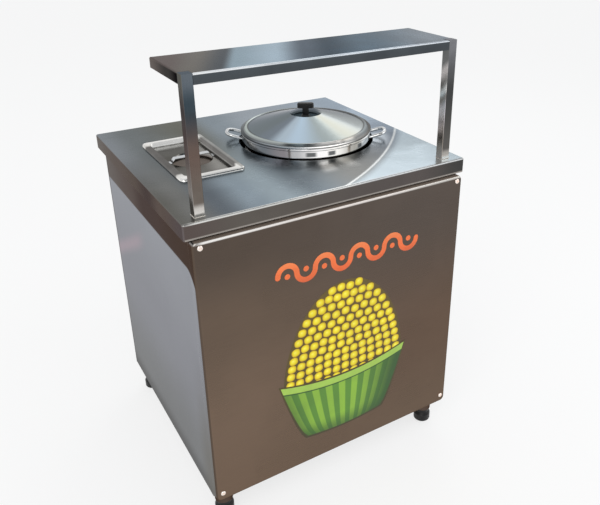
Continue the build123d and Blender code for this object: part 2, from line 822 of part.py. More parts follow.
# Ring burner casting: an open annular trough on legs, fed by a mixing tube with a bell mouth
mixer_start = pot_y + burner_radius - burner_wall / 2
mixer_end = pot_y + mixer_reach
gas_axis = Axis((pot_x, 0, gas_z), (0, 1, 0))
with BuildPart() as burner:
    with BuildSketch(Plane.XY.offset(trough_low)):
        with Locations((pot_x, pot_y)):
            Circle(burner_radius)
            Circle(burner_inner_radius, mode=Mode.SUBTRACT)
    extrude(amount=burner_trough)
    with BuildSketch(Plane.YZ.offset(pot_x)):
        with BuildLine():
            Polyline(
                (mixer_start, gas_z),
                (mixer_start, gas_z + mixer_radius),
                (mixer_end - bell_length, gas_z + mixer_radius),
                (mixer_end, gas_z + bell_radius),
                (mixer_end, gas_z),
                close=True,
            )
        make_face()
    revolve(axis=gas_axis)
    with BuildSketch(Plane.XY.offset(trough_low + burner_wall)):
        with Locations((pot_x, pot_y)):
            Circle(burner_radius - burner_wall)
            Circle(burner_inner_radius + burner_wall, mode=Mode.SUBTRACT)
    extrude(amount=burner_trough, mode=Mode.SUBTRACT)
    with BuildSketch(Plane.YZ.offset(pot_x)):
        with BuildLine():
            Polyline(
                (mixer_start - burner_wall, gas_z),
                (mixer_start - burner_wall, gas_z + mixer_bore),
                (mixer_end - bell_length, gas_z + mixer_bore),
                (mixer_end, gas_z + mixer_bore + bell_radius - mixer_radius),
                (mixer_end, gas_z),
                close=True,
            )
        make_face()
    revolve(axis=gas_axis, mode=Mode.SUBTRACT)
    with BuildSketch(Plane.XY.offset(shelf_surface)):
        with Locations((pot_x, pot_y)):
            with PolarLocations((burner_radius + burner_inner_radius) / 2, burner_legs, burner_leg_turn):
                Circle(burner_leg_radius)
    extrude(amount=trough_low - shelf_surface)
save(burner, "burner")

# Burner cap: an annular plate with two rings of ports and a lip that centres it in the trough
with BuildPart() as burner_port_cap:
    with BuildSketch(Plane.XY.offset(trough_top)):
        with Locations((pot_x, pot_y)):
            Circle(burner_radius)
            Circle(burner_inner_radius, mode=Mode.SUBTRACT)
    extrude(amount=burner_cap)
    top_edges = burner_port_cap.faces().sort_by(Axis.Z)[-1].edges()
    chamfer(top_edges, burner_cap_chamfer)
    with BuildSketch(Plane.XY.offset(trough_top)):
        with Locations((pot_x, pot_y)):
            Circle(burner_radius - burner_wall - burner_cap_clearance)
            Circle(burner_inner_radius + burner_wall + burner_cap_clearance, mode=Mode.SUBTRACT)
    extrude(amount=-burner_cap_lip)
    with BuildSketch(Plane.XY.offset(trough_top - burner_cap_lip)):
        with Locations((pot_x, pot_y)):
            with PolarLocations(burner_radius - outer_port_inset, outer_ports):
                Circle(port_radius)
            with PolarLocations(burner_inner_radius + inner_port_inset, inner_ports):
                Circle(port_radius)
    extrude(amount=burner_cap + burner_cap_lip, mode=Mode.SUBTRACT)
save(burner_port_cap, "burner_cap")

# Injector: a stepped brass jet that points into the bell mouth
injector_front = mixer_end - injector_entry
injector_back = injector_front + injector_length
with BuildPart() as injector:
    with BuildSketch(Plane.YZ.offset(pot_x)):
        with BuildLine():
            Polyline(
                (injector_front, gas_z),
                (injector_front, gas_z + injector_tip_radius),
                (mixer_end, gas_z + injector_radius),
                (injector_back, gas_z + injector_radius),
                (injector_back, gas_z),
                close=True,
            )
        make_face()
    revolve(axis=gas_axis)
save(injector, "injector")

# Gas pipe from the valve to the injector
with BuildPart() as gas_pipe:
    with BuildSketch(Plane.XZ.offset(-injector_back)):
        with Locations((pot_x, gas_z)):
            Circle(gas_pipe_radius)
            Circle(gas_pipe_radius - gas_pipe_wall, mode=Mode.SUBTRACT)
    extrude(amount=-(valve_end - injector_back))
save(gas_pipe, "gas_pipe")

# Gas valve: a turned body behind the fascia, bored for its spindle, with a boss for the hose tail
tail_top = gas_z - valve_radius - valve_boss
with BuildPart() as gas_valve:
    with BuildSketch(Plane.XZ.offset(-valve_end)):
        with Locations((pot_x, gas_z)):
            Circle(valve_radius)
    extrude(amount=-valve_length)
    chamfer(gas_valve.edges().group_by(Axis.Y)[0], valve_chamfer)
    with BuildSketch(Plane.XY.offset(tail_top)):
        with Locations((pot_x, inlet_y)):
            Circle(hose_nut_radius)
    extrude(amount=valve_radius)
    with BuildSketch(Plane.XZ.offset(-fascia_inside)):
        with Locations((pot_x, gas_z)):
            Circle(spindle_radius + spindle_fit)
    extrude(amount=spindle_depth, mode=Mode.SUBTRACT)
save(gas_valve, "gas_valve")

# Valve spindle: a rod with a flat at its outer end that turns the knob and the valve's plug together
with BuildPart() as valve_spindle:
    with BuildSketch(Plane.XZ.offset(-(fascia_inside - spindle_depth))):
        with Locations((pot_x, gas_z)):
            Circle(spindle_radius)
    extrude(amount=-(spindle_depth + sheet + spindle_reach))
    with BuildSketch(Plane.XZ.offset(-(body_back + valve_knob_gap))):
        with Locations((pot_x, gas_z + 2 * spindle_radius - spindle_flat)):
            Rectangle(2 * spindle_radius, 2 * spindle_radius)
    extrude(amount=-spindle_reach, mode=Mode.SUBTRACT)
save(valve_spindle, "valve_spindle")

# Hose tail: a nut, a stem and a push-on spigot that hang from the valve through the burner shelf
tail_low = tail_top - hose_tail_length
with BuildPart() as hose_tail:
    with BuildSketch(Plane.YZ.offset(pot_x)):
        with BuildLine():
            Polyline(
                (inlet_y + hose_tail_bore, tail_low),
                (inlet_y + hose_spigot_radius - hose_spigot_chamfer, tail_low),
                (inlet_y + hose_spigot_radius, tail_low + hose_spigot_chamfer),
                (inlet_y + hose_spigot_radius, tail_low + hose_spigot_length),
                (inlet_y + hose_stem_radius, tail_low + hose_spigot_length),
                (inlet_y + hose_stem_radius, tail_top - hose_nut_height),
                (inlet_y + hose_nut_radius, tail_top - hose_nut_height),
                (inlet_y + hose_nut_radius, tail_top),
                (inlet_y + hose_tail_bore, tail_top),
                close=True,
            )
        make_face()
    revolve(axis=Axis((pot_x, inlet_y, 0), (0, 0, 1)))
save(hose_tail, "hose_tail")

# Back fascia: a folded panel above the door that carries the gas valve
door_high = burner_level - shelf_lip - door_gap
door_low = floor_level + sheet + door_gap
fascia_low = door_high + door_gap
fascia_high = top_under - tube
fascia_half = bay_side - fascia_side_gap
with BuildPart() as back_fascia:
    with BuildSketch(Plane.XZ.offset(-body_back)):
        with Locations((0, (fascia_low + fascia_high) / 2)):
            Rectangle(2 * fascia_half, fascia_high - fascia_low)
    extrude(amount=fascia_depth)
    fillet(back_fascia.faces().sort_by(Axis.Y)[-1].edges(), bend)
    offset(amount=-sheet, openings=back_fascia.faces().sort_by(Axis.Y)[0])
    with BuildSketch(Plane.XZ.offset(-body_back)):
        with Locations((pot_x, gas_z)):
            Circle(spindle_radius + spindle_clearance)
        with Locations((vent_from_side - fascia_half, fascia_high - vent_from_top)):
            with GridLocations(vent_pitch, vent_length, vent_count, 1):
                SlotOverall(vent_length, vent_width, rotation=90)
    extrude(amount=fascia_depth, mode=Mode.SUBTRACT)
save(back_fascia, "back_fascia")

# Valve knob: a moulded grip with a finger bar, bored for the spindle
knob_back = body_back + valve_knob_gap
with BuildPart() as valve_knob:
    with BuildSketch(Plane.XZ.offset(-knob_back)):
        with Locations((pot_x, gas_z)):
            Circle(valve_knob_radius)
    extrude(amount=-valve_knob_height / 2)
    with BuildSketch(Plane.XZ.offset(-(knob_back + valve_knob_height / 2))):
        with Locations((pot_x, gas_z)):
            Rectangle(valve_knob_grip, 2 * valve_knob_radius)
            Circle(valve_knob_radius, mode=Mode.INTERSECT)
    extrude(amount=-valve_knob_height / 2)
    fillet(valve_knob.faces().sort_by(Axis.Y)[-1].edges(), valve_knob_round)
    with BuildSketch(Plane.XZ.offset(-knob_back)):
        with Locations((pot_x, gas_z)):
            Circle(spindle_radius + knob_fit)
        with Locations((pot_x, gas_z + 2 * spindle_radius - spindle_flat + knob_fit)):
            Rectangle(2 * spindle_radius, 2 * spindle_radius, mode=Mode.SUBTRACT)
    extrude(amount=-(spindle_reach - valve_knob_gap), mode=Mode.SUBTRACT)
save(valve_knob, "valve_knob")

# Door: a folded outer shell between the uprights, closed inside by a flat liner
door_half = bay_side - door_gap
door_mid = (door_low + door_high) / 2
with BuildPart() as door:
    with BuildSketch(Plane.XZ.offset(-body_back)):
        with Locations((0, door_mid)):
            Rectangle(2 * door_half, door_high - door_low)
    extrude(amount=door_depth)
    fillet(door.faces().sort_by(Axis.Y)[-1].edges(), bend)
    offset(amount=-sheet, openings=door.faces().sort_by(Axis.Y)[0])
save(door, "door")

liner_face = body_back - door_depth
with BuildPart() as door_liner:
    with BuildSketch(Plane.XZ.offset(-liner_face)):
        with Locations((0, door_mid)):
            Rectangle(2 * (door_half - sheet), door_high - door_low - 2 * sheet)
    extrude(amount=-sheet)
save(door_liner, "door_liner")

# Butt hinges on the outer face: a cabinet leaf, a door leaf and a headed pin each
hinge_x = bay_side - door_gap / 2
hinge_y = body_back + hinge_knuckle_radius + hinge_lift
hinge_lows = [door_low + hinge_from_end, door_high - hinge_from_end - hinge_height]
knuckle_height = hinge_height / 3
leaf_start = hinge_knuckle_radius + hinge_split_clearance
leaf_mid_y = body_back + hinge_plate / 2
hinge_bore = hinge_pin_radius + hinge_pin_clearance
outer_knuckles = [(0, knuckle_height), (2 * knuckle_height, knuckle_height)]
middle_knuckle = [(knuckle_height + hinge_split_clearance / 2, knuckle_height - hinge_split_clearance)]
for owner, sign, knuckles in (("cabinet", 1, outer_knuckles), ("door", -1, middle_knuckle)):
    leaf_mid_x = hinge_x + sign * (leaf_start + hinge_leaf) / 2
    with BuildPart() as hinge_leaves:
        for low in hinge_lows:
            with BuildSketch(Plane.XY.offset(low)):
                with Locations((leaf_mid_x, leaf_mid_y)):
                    Rectangle(hinge_leaf - leaf_start, hinge_plate)
            extrude(amount=hinge_height)
            for step, height in knuckles:
                with BuildSketch(Plane.XY.offset(low + step)):
                    with Locations((hinge_x, hinge_y)):
                        Circle(hinge_knuckle_radius)
                    with Locations((hinge_x + sign * leaf_start / 2, leaf_mid_y + hinge_lift / 2)):
                        Rectangle(leaf_start, hinge_plate - hinge_lift)
                    with Locations((hinge_x, hinge_y)):
                        Circle(hinge_bore, mode=Mode.SUBTRACT)
                extrude(amount=height)
            with BuildSketch(Plane.XZ.offset(-body_back)):
                with Locations((leaf_mid_x, low + hinge_height / 2)):
                    with GridLocations(hinge_leaf, hinge_height / 2, 1, 2):
                        Circle(hinge_screw_radius)
            extrude(amount=-hinge_plate, mode=Mode.SUBTRACT)
    save(hinge_leaves, f"hinge_{owner}_leaves")
with BuildPart() as hinge_pins:
    for low in hinge_lows:
        with BuildSketch(Plane.XY.offset(low)):
            with Locations((hinge_x, hinge_y)):
                Circle(hinge_pin_radius)
        extrude(amount=hinge_height)
        with BuildSketch(Plane.XY.offset(low + hinge_height)):
            with Locations((hinge_x, hinge_y)):
                Circle(hinge_pin_head_radius)
        extrude(amount=hinge_pin_head)
save(hinge_pins, "hinge_pins")

# Door handle: a bowed rod with round feet, kept within the worktop's overhang
handle_x = door_handle_from_edge - door_half
bow_y = body_back + door_handle_reach - door_handle_rod
bow_half = door_handle_span / 2 - door_handle_rod
with BuildPart() as door_handle:
    with BuildLine() as bow_line:
        FilletPolyline(
            (handle_x, body_back, door_mid - bow_half),
            (handle_x, bow_y, door_mid - bow_half),
            (handle_x, bow_y, door_mid + bow_half),
            (handle_x, body_back, door_mid + bow_half),
            radius=door_handle_bend,
        )
    with BuildSketch(Plane(origin=bow_line.line @ 0, z_dir=bow_line.line % 0)):
        Circle(door_handle_rod)
    sweep()
    with BuildSketch(Plane.XZ.offset(-body_back)):
        with Locations((handle_x, door_mid - bow_half), (handle_x, door_mid + bow_half)):
            Circle(door_handle_foot_radius)
    extrude(amount=-door_handle_foot)
save(door_handle, "door_handle")

# Magnet catch on the left back upright and its strike plate on the door liner
strike_face = liner_face - strike_thick
with BuildPart() as catch:
    with BuildSketch(Plane.XZ.offset(-(strike_face - catch_gap))):
        with Locations((catch_width / 2 - bay_side, door_mid)):
            RectangleRounded(catch_width, catch_length, bend)
    extrude(amount=catch_depth)
save(catch, "magnet_catch")

with BuildPart() as strike:
    with BuildSketch(Plane.XZ.offset(-liner_face)):
        with Locations((catch_width / 2 + door_gap - bay_side, door_mid)):
            RectangleRounded(strike_width, strike_length, bend)
    extrude(amount=strike_thick)
save(strike, "catch_strike")
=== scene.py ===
import bpy, bmesh, json, math
from mathutils import Matrix, Vector


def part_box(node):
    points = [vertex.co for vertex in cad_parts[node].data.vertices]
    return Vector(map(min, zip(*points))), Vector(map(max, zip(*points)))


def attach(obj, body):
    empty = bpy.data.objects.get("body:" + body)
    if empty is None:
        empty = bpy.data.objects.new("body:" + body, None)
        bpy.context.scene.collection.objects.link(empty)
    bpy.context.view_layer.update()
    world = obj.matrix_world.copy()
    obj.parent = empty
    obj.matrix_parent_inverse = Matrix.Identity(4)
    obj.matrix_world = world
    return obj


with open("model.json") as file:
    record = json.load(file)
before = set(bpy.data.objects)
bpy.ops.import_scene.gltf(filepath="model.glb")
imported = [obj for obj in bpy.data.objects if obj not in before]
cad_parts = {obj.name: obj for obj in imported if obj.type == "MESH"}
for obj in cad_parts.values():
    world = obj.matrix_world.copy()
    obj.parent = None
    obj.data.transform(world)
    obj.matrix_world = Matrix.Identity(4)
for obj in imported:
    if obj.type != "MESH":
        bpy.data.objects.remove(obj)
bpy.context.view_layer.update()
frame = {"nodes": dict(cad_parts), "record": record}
nodes = frame["nodes"]
topLow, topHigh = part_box("worktop")
topEdge, topLevel = topLow[1], topHigh[2]
panelLow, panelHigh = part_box("front_panel")
panelFace, panelTop = panelLow[1], panelHigh[2]
shelfLow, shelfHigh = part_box("overshelf")
shelfLevel = shelfHigh[2]
potAxis = [(a + b) / 2 for a, b in zip(*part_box("pot"))][:2]
scene = bpy.context.scene
print("frame loaded", len(nodes), "nodes")


# linear colour from screen values of 0 to 255
def tone(r, g, b):
    lin = [c / 255 / 12.92 if c <= 10.31 else ((c / 255 + 0.055) / 1.055) ** 2.4 for c in (r, g, b)]
    return (*lin, 1.0)


def addNode(tree, kind, **settings):
    node = tree.nodes.new(kind)
    for key, value in settings.items():
        setattr(node, key, value)
    return node


def mathNode(tree, operation, a, b=None):
    node = addNode(tree, "ShaderNodeMath", operation=operation)
    for socket, value in zip(node.inputs, (a, b)):
        if isinstance(value, (int, float)):
            socket.default_value = value
        elif value is not None:
            tree.links.new(value, socket)
    return node.outputs[0]


def mapRange(tree, value, low, high, toLow=0.0, toHigh=1.0, smooth=True):
    node = addNode(tree, "ShaderNodeMapRange", interpolation_type="SMOOTHSTEP" if smooth else "LINEAR")
    tree.links.new(value, node.inputs["Value"])
    for key, number in (("From Min", low), ("From Max", high), ("To Min", toLow), ("To Max", toHigh)):
        node.inputs[key].default_value = number
    return node.outputs["Result"]


def linear(tree, value, low, high, toLow=0.0, toHigh=1.0):
    return mapRange(tree, value, low, high, toLow, toHigh, smooth=False)


def times(tree, a, b):
    return mathNode(tree, "MULTIPLY", a, b)


def minus(tree, a, b):
    return mathNode(tree, "SUBTRACT", a, b)


def mixColour(tree, share, first, second):
    node = addNode(tree, "ShaderNodeMix", data_type="RGBA")
    for socket, value in ((node.inputs[0], share), (node.inputs[6], first), (node.inputs[7], second)):
        if isinstance(value, tuple):
            socket.default_value = value
        else:
            tree.links.new(value, socket)
    return node.outputs[2]


# from one colour to another over a span of a value, up to a share
def fade(tree, value, span, first, second, share=1.0):
    return mixColour(tree, mapRange(tree, value, *span, 0.0, share), first, second)


def colourRamp(tree, share, stops):
    node = addNode(tree, "ShaderNodeValToRGB")
    ramp = node.color_ramp
    ramp.interpolation = "EASE"
    while len(ramp.elements) < len(stops):
        ramp.elements.new(0.5)
    for element, (place, colour) in zip(ramp.elements, stops):
        element.position = place
        element.color = colour
    tree.links.new(share, node.inputs[0])
    return node.outputs["Color"]


def newMaterial(name):
    material = bpy.data.materials.new(name)
    material.use_nodes = True
    tree = material.node_tree
    return material, tree, tree.nodes["Principled BSDF"]


def placeOf(tree):
    return addNode(tree, "ShaderNodeTexCoord").outputs["Object"]


def axisOf(tree, place, axis):
    split = addNode(tree, "ShaderNodeSeparateXYZ")
    tree.links.new(place, split.inputs[0])
    return split.outputs[axis]


# camera at the photograph's angle, for a picture of 600 by 505
cameraSet = {
    "place": (-0.805, -1.6433, 1.547), "right": (0.8474, -0.5310, 0.0020),
    "down": (-0.2202, -0.3548, -0.9087), "ahead": (0.4832, 0.7695, -0.4175),
    "focal": 674.8, "sensor": 36, "centre": (340, 210), "picture": (600, 505),
}


def makeCamera(s):
    data = bpy.data.cameras.new("camera")
    wide, tall = s["picture"]
    data.sensor_width = s["sensor"]
    data.lens = s["focal"] / wide * s["sensor"]
    data.shift_x = -(s["centre"][0] - wide / 2) / wide
    data.shift_y = (s["centre"][1] - tall / 2) / wide
    camera = bpy.data.objects.new("camera", data)
    axes = [Vector(s["right"]), -Vector(s["down"]), -Vector(s["ahead"])]
    turn = Matrix([list(row) for row in zip(*axes)]).to_quaternion()
    camera.matrix_world = Matrix.LocRotScale(Vector(s["place"]), turn, None)
    scene.collection.objects.link(camera)
    scene.camera = camera


makeCamera(cameraSet)
print("camera set")

# soft studio: a pale floor, a plain dome and three large lamps
studioSet = {
    "floor": (0.92, 0.92, 0.92, 1), "floorSize": 14.0, "floorRough": 0.9, "floorLift": 0.72,
    "domeLow": (1.0, 1.0, 1.0, 1), "domeHigh": (0.70, 0.715, 0.73, 1), "domeRise": (0.05, 0.8),
    "domeStrength": 1.0, "aim": (0, 0, 0.75),
}
lampSet = {
    "keyLamp": {"place": (-2.4, -2.4, 3.2), "size": 2.4, "watts": 45, "tint": (1.0, 0.985, 0.96)},
    "fillLamp": {"place": (2.6, -1.8, 2.4), "size": 2.0, "watts": 18, "tint": (1.0, 1.0, 1.0)},
    "backLamp": {"place": (2.5, 2.7, 3.3), "size": 1.6, "watts": 12, "tint": (0.96, 0.98, 1.0)},
}


def makeFloor(s):
    mesh = bmesh.new()
    bmesh.ops.create_grid(mesh, x_segments=2, y_segments=2, size=s["floorSize"])
    data = bpy.data.meshes.new("studioFloor")
    mesh.to_mesh(data)
    mesh.free()
    floor = bpy.data.objects.new("studioFloor", data)
    scene.collection.objects.link(floor)
    paint, tree, shader = newMaterial("floorPaint")
    shader.inputs["Base Color"].default_value = s["floor"]
    shader.inputs["Roughness"].default_value = s["floorRough"]
    shader.inputs["Specular IOR Level"].default_value = 0.0
    glow = addNode(tree, "ShaderNodeEmission")
    path = addNode(tree, "ShaderNodeLightPath")
    seen = mathNode(tree, "MAXIMUM", path.outputs["Is Camera Ray"], path.outputs["Is Glossy Ray"])
    seen = mathNode(tree, "MAXIMUM", seen, path.outputs["Is Transmission Ray"])
    mix = addNode(tree, "ShaderNodeMixShader")
    tree.links.new(times(tree, seen, s["floorLift"]), mix.inputs[0])
    tree.links.new(shader.outputs[0], mix.inputs[1])
    tree.links.new(glow.outputs[0], mix.inputs[2])
    tree.links.new(mix.outputs[0], tree.nodes["Material Output"].inputs["Surface"])
    data.materials.append(paint)


def makeDome(s):
    world = bpy.data.worlds.new("studioDome")
    scene.world = world
    world.use_nodes = True
    sky = world.node_tree
    way = addNode(sky, "ShaderNodeTexCoord").outputs["Generated"]
    high = mapRange(sky, axisOf(sky, way, "Z"), *s["domeRise"])
    back = sky.nodes["Background"]
    sky.links.new(mixColour(sky, high, s["domeLow"], s["domeHigh"]), back.inputs["Color"])
    back.inputs["Strength"].default_value = s["domeStrength"]


def makeLamp(name, lamp, aim):
    light = bpy.data.lights.new(name, "AREA")
    light.size = lamp["size"]
    light.energy = lamp["watts"]
    light.color = lamp["tint"]
    item = bpy.data.objects.new(name, light)
    item.location = lamp["place"]
    item.rotation_euler = (Vector(lamp["place"]) - Vector(aim)).to_track_quat("Z", "Y").to_euler()
    item.visible_camera = False
    scene.collection.objects.link(item)


makeFloor(studioSet)
makeDome(studioSet)
for lampName, lamp in lampSet.items():
    makeLamp(lampName, lamp, studioSet["aim"])
scene.view_settings.view_transform = "Standard"
print("studio lit")


def nodeGroup(name, ins, outs):
    group = bpy.data.node_groups.new(name, "ShaderNodeTree")
    for label, kind, value in ins:
        socket = group.interface.new_socket(label, in_out="INPUT", socket_type=kind)
        socket.default_value = value
    for label, kind in outs:
        group.interface.new_socket(label, in_out="OUTPUT", socket_type=kind)
    return group, addNode(group, "NodeGroupInput"), addNode(group, "NodeGroupOutput")


# fine rolling grain of sheet steel, drawn out along one way
grainGroupSet = {"detail": 4.0, "rough": 0.65, "spread": (0.28, 0.72)}


def makeGrainGroup(s):
    group, start, end = nodeGroup("rolledGrain", [("Place", "NodeSocketVector", (0, 0, 0)),
                                                  ("Stretch", "NodeSocketVector", (1, 1, 1))],
                                  [("Streak", "NodeSocketFloat")])
    drawn = addNode(group, "ShaderNodeVectorMath", operation="MULTIPLY")
    group.links.new(start.outputs["Place"], drawn.inputs[0])
    group.links.new(start.outputs["Stretch"], drawn.inputs[1])
    noise = addNode(group, "ShaderNodeTexNoise")
    noise.inputs["Scale"].default_value = 1.0
    noise.inputs["Detail"].default_value = s["detail"]
    noise.inputs["Roughness"].default_value = s["rough"]
    group.links.new(drawn.outputs[0], noise.inputs["Vector"])
    group.links.new(linear(group, noise.outputs[0], *s["spread"]), end.inputs["Streak"])
    return group


# soft hand marks and wiping clouds
markGroupSet = {"size": 6.0, "detail": 4.0, "rough": 0.55, "swirl": 0.5, "spread": (0.35, 0.68)}


def makeMarkGroup(s):
    group, start, end = nodeGroup("wipeMarks", [("Place", "NodeSocketVector", (0, 0, 0)),
                                                ("Size", "NodeSocketFloat", s["size"])],
                                  [("Mark", "NodeSocketFloat")])
    noise = addNode(group, "ShaderNodeTexNoise")
    noise.inputs["Detail"].default_value = s["detail"]
    noise.inputs["Roughness"].default_value = s["rough"]
    noise.inputs["Distortion"].default_value = s["swirl"]
    group.links.new(start.outputs["Place"], noise.inputs["Vector"])
    group.links.new(start.outputs["Size"], noise.inputs["Scale"])
    group.links.new(mapRange(group, noise.outputs[0], *s["spread"]), end.inputs["Mark"])
    return group


rolledGrain = makeGrainGroup(grainGroupSet)
wipeMarks = makeMarkGroup(markGroupSet)


def newSteel(name):
    material, tree, shader = newMaterial(name)
    place = placeOf(tree)
    return material, tree, shader, place, *(axisOf(tree, place, a) for a in "XYZ")


def useGroup(tree, group, place, **values):
    node = addNode(tree, "ShaderNodeGroup", node_tree=group)
    tree.links.new(place, node.inputs["Place"])
    for key, value in values.items():
        node.inputs[key].default_value = value
    return node.outputs[0]


def scaled(tree, colour, tint):
    scale = addNode(tree, "ShaderNodeVectorMath", operation="SCALE")
    tree.links.new(colour, scale.inputs[0])
    tree.links.new(tint, scale.inputs["Scale"])
    return scale.outputs[0]


# 1 plus or minus a share, by a mask from 0 to 1
def tintBy(tree, mask, share):
    return linear(tree, mask, 0, 1, 1 - share, 1 + share)


# band of a value: up over one pair of places, down over the other
def bandMask(tree, value, rise, fall, share=1.0):
    return times(tree, mapRange(tree, value, *rise), mapRange(tree, value, *fall, 0.0, share))


def asideOf(tree, value, middle):
    return mathNode(tree, "ABSOLUTE", minus(tree, value, middle))


def farFrom(tree, place, point):
    node = addNode(tree, "ShaderNodeVectorMath", operation="DISTANCE")
    node.inputs[1].default_value = point
    tree.links.new(place, node.inputs[0])
    return node.outputs["Value"]


def addBump(tree, shader, height, strength, depth, normal=None):
    bump = addNode(tree, "ShaderNodeBump")
    bump.inputs["Strength"].default_value = strength
    bump.inputs["Distance"].default_value = depth
    tree.links.new(height, bump.inputs["Height"])
    if normal is not None:
        tree.links.new(normal, bump.inputs["Normal"])
    tree.links.new(bump.outputs[0], shader.inputs["Normal"])


# shared by all steels: colour at a flat angle, where the lean begins, and how grain shows
steelSet = {
    "edgeGain": 0.95, "edgeLift": 0.28, "leanFrom": (-0.3, 0.0), "grainRough": 0.03, "grainDepth": 0.0002,
}


# keeps a dark tone dark where the steel is seen at a flat angle
def tintEdge(tree, shader, colour):
    edge = addNode(tree, "ShaderNodeVectorMath", operation="MULTIPLY_ADD")
    edge.inputs[1].default_value = [steelSet["edgeGain"]] * 3
    edge.inputs[2].default_value = [steelSet["edgeLift"]] * 3
    tree.links.new(colour, edge.inputs[0])
    tree.links.new(edge.outputs[0], shader.inputs["Specular Tint"])


# shading normal leant upwards by a share that is a number or a socket
def leanUp(tree, share):
    face = addNode(tree, "ShaderNodeNewGeometry").outputs["Normal"]
    above = mapRange(tree, axisOf(tree, face, "Z"), *steelSet["leanFrom"])
    rise = addNode(tree, "ShaderNodeCombineXYZ")
    tree.links.new(times(tree, above, share), rise.inputs["Z"])
    tilt = addNode(tree, "ShaderNodeVectorMath", operation="ADD")
    tree.links.new(face, tilt.inputs[0])
    tree.links.new(rise.outputs[0], tilt.inputs[1])
    straight = addNode(tree, "ShaderNodeVectorMath", operation="NORMALIZE")
    tree.links.new(tilt.outputs[0], straight.inputs[0])
    return straight.outputs[0]


# shades a steel's colour with grain and marks, and gives its roughness and bump
def finishSteel(tree, shader, place, colour, s):
    streak = useGroup(tree, rolledGrain, place, Stretch=s["stretch"])
    mark = useGroup(tree, wipeMarks, place, Size=s["markSize"])
    tint = times(tree, tintBy(tree, streak, s["grainTint"]), tintBy(tree, mark, s["markTint"]))
    tree.links.new(scaled(tree, colour, tint), shader.inputs["Base Color"])
    rough, spread = linear(tree, mark, 0, 1, *s["rough"]), steelSet["grainRough"]
    rough = mathNode(tree, "ADD", rough, linear(tree, streak, 0, 1, -spread, spread))
    tree.links.new(rough, shader.inputs["Roughness"])
    normal = leanUp(tree, s["lean"]) if "lean" in s else None
    addBump(tree, shader, streak, s["bump"], steelSet["grainDepth"], normal)
    shader.inputs["Metallic"].default_value = 1.0
    if "edge" in s:
        shader.inputs["Specular Tint"].default_value = s["edge"]
    else:
        tintEdge(tree, shader, colour)


# front panel: steel in a warm brown painted reflection that darkens towards the top, a painted highlight
# along the folded top edge below a band of painted shade under the rim, drawn as non-metal, and a line of
# painted shade round its bent edge
frontSteelSet = {
    "stretch": (14, 14, 700), "grainTint": 0.045, "markSize": 5.0, "markTint": 0.05,
    "rough": (0.26, 0.36), "bump": 0.05, "rise": (0.095, 0.86), "across": (-0.32, 0.28),
    # the brown tone of both ramps, darker towards the top, is a painted reflection
    "left": [(0.0, tone(118, 100, 86)), (0.35, tone(120, 102, 88)), (0.7, tone(107, 92, 80)),
             (0.95, tone(91, 80, 72))],
    "right": [(0.0, tone(114, 98, 85)), (0.4, tone(107, 90, 78)), (0.95, tone(95, 86, 80))],
    # a line of painted shade round the bent edge, where the panel turns back into its sides
    "bend": tone(96, 83, 73), "bendFrom": (0.0001, 0.0010), "sideFrom": (0.0030, 0.0090),
    # painted highlight along the folded top edge
    "fold": [(0.0, tone(150, 147, 144)), (0.03, tone(250, 247, 243)), (0.5, tone(230, 223, 218)),
             (1.0, tone(192, 189, 184))],
    "foldSpan": (-0.38, 0.38), "foldDrop": (0.0092, 0.0056),
    # painted shade under the rim, along the very top of the panel, drawn as non-metal
    "lip": tone(102, 91, 82), "lipDrop": (0.0028, 0.0018),
}

# side panels: a pale tone that lightens upwards, one faint slanting streak of painted pink reflection on
# the left panel, a band of painted shade below the rim and a dark back edge
sideSteelSet = {
    "stretch": (14, 14, 700), "grainTint": 0.03, "markSize": 4.0, "markTint": 0.05,
    "rough": (0.30, 0.40), "bump": 0.05, "rise": (0.095, 0.87),
    "stops": [(0.0, tone(124, 124, 124)), (0.1, tone(146, 147, 148)), (0.5, tone(158, 159, 164)),
              (1.0, tone(167, 169, 174))],
    # a painted pink reflection, as a slanting streak on the left panel
    "streak": tone(188, 173, 180), "slope": 0.52, "level": 0.719, "streakHalf": 0.04,
    "streakFade": (0.0, 0.12), "streakShare": 0.6, "leftOnly": (0.1, -0.1),
    "low": tone(134, 131, 125), "lowFront": (-0.26, -0.345), "lowFade": (0.58, 0.15), "lowShare": 0.6,
    # painted shade below the rim, reaching lower towards the front
    "band": [(0.0, tone(95, 83, 77)), (0.5, tone(96, 85, 82)), (0.68, tone(112, 102, 98)),
             (1.0, tone(124, 118, 115))],
    "bandSpan": (-0.37, 0.345), "bandLow": 0.7855, "bandSoft": 0.003, "bandDrop": 0.045,
    "bandTurn": (-0.320, -0.372),
    "back": tone(104, 102, 101), "backFade": (0.330, 0.344), "backShare": 0.85,
}


def sideTone(tree, x, y, z, s):
    colour = colourRamp(tree, linear(tree, z, *s["rise"]), s["stops"])
    # painted pink reflection: a slanting streak on the left panel only
    slant = mathNode(tree, "ADD", z, times(tree, y, s["slope"]))
    level, half = s["level"], s["streakHalf"]
    streak = bandMask(tree, slant, (level - half, level), (level + half, level))
    streak = times(tree, streak, mapRange(tree, y, *s["streakFade"], 0.0, s["streakShare"]))
    streak = times(tree, streak, mapRange(tree, x, *s["leftOnly"]))
    colour = mixColour(tree, streak, colour, s["streak"])
    low = mapRange(tree, z, *s["lowFade"], 0.0, s["lowShare"])
    low = times(tree, mapRange(tree, y, *s["lowFront"]), low)
    colour = mixColour(tree, low, colour, s["low"])
    # painted shade below the rim, reaching lower towards the front
    turn = linear(tree, y, *s["bandTurn"])
    drop = times(tree, times(tree, turn, turn), s["bandDrop"])
    edge, soft = s["bandLow"], s["bandSoft"]
    band = mapRange(tree, mathNode(tree, "ADD", z, drop), edge - soft, edge + soft)
    along = linear(tree, y, *s["bandSpan"])
    colour = mixColour(tree, band, colour, colourRamp(tree, along, s["band"]))
    return fade(tree, y, s["backFade"], colour, s["back"], s["backShare"])


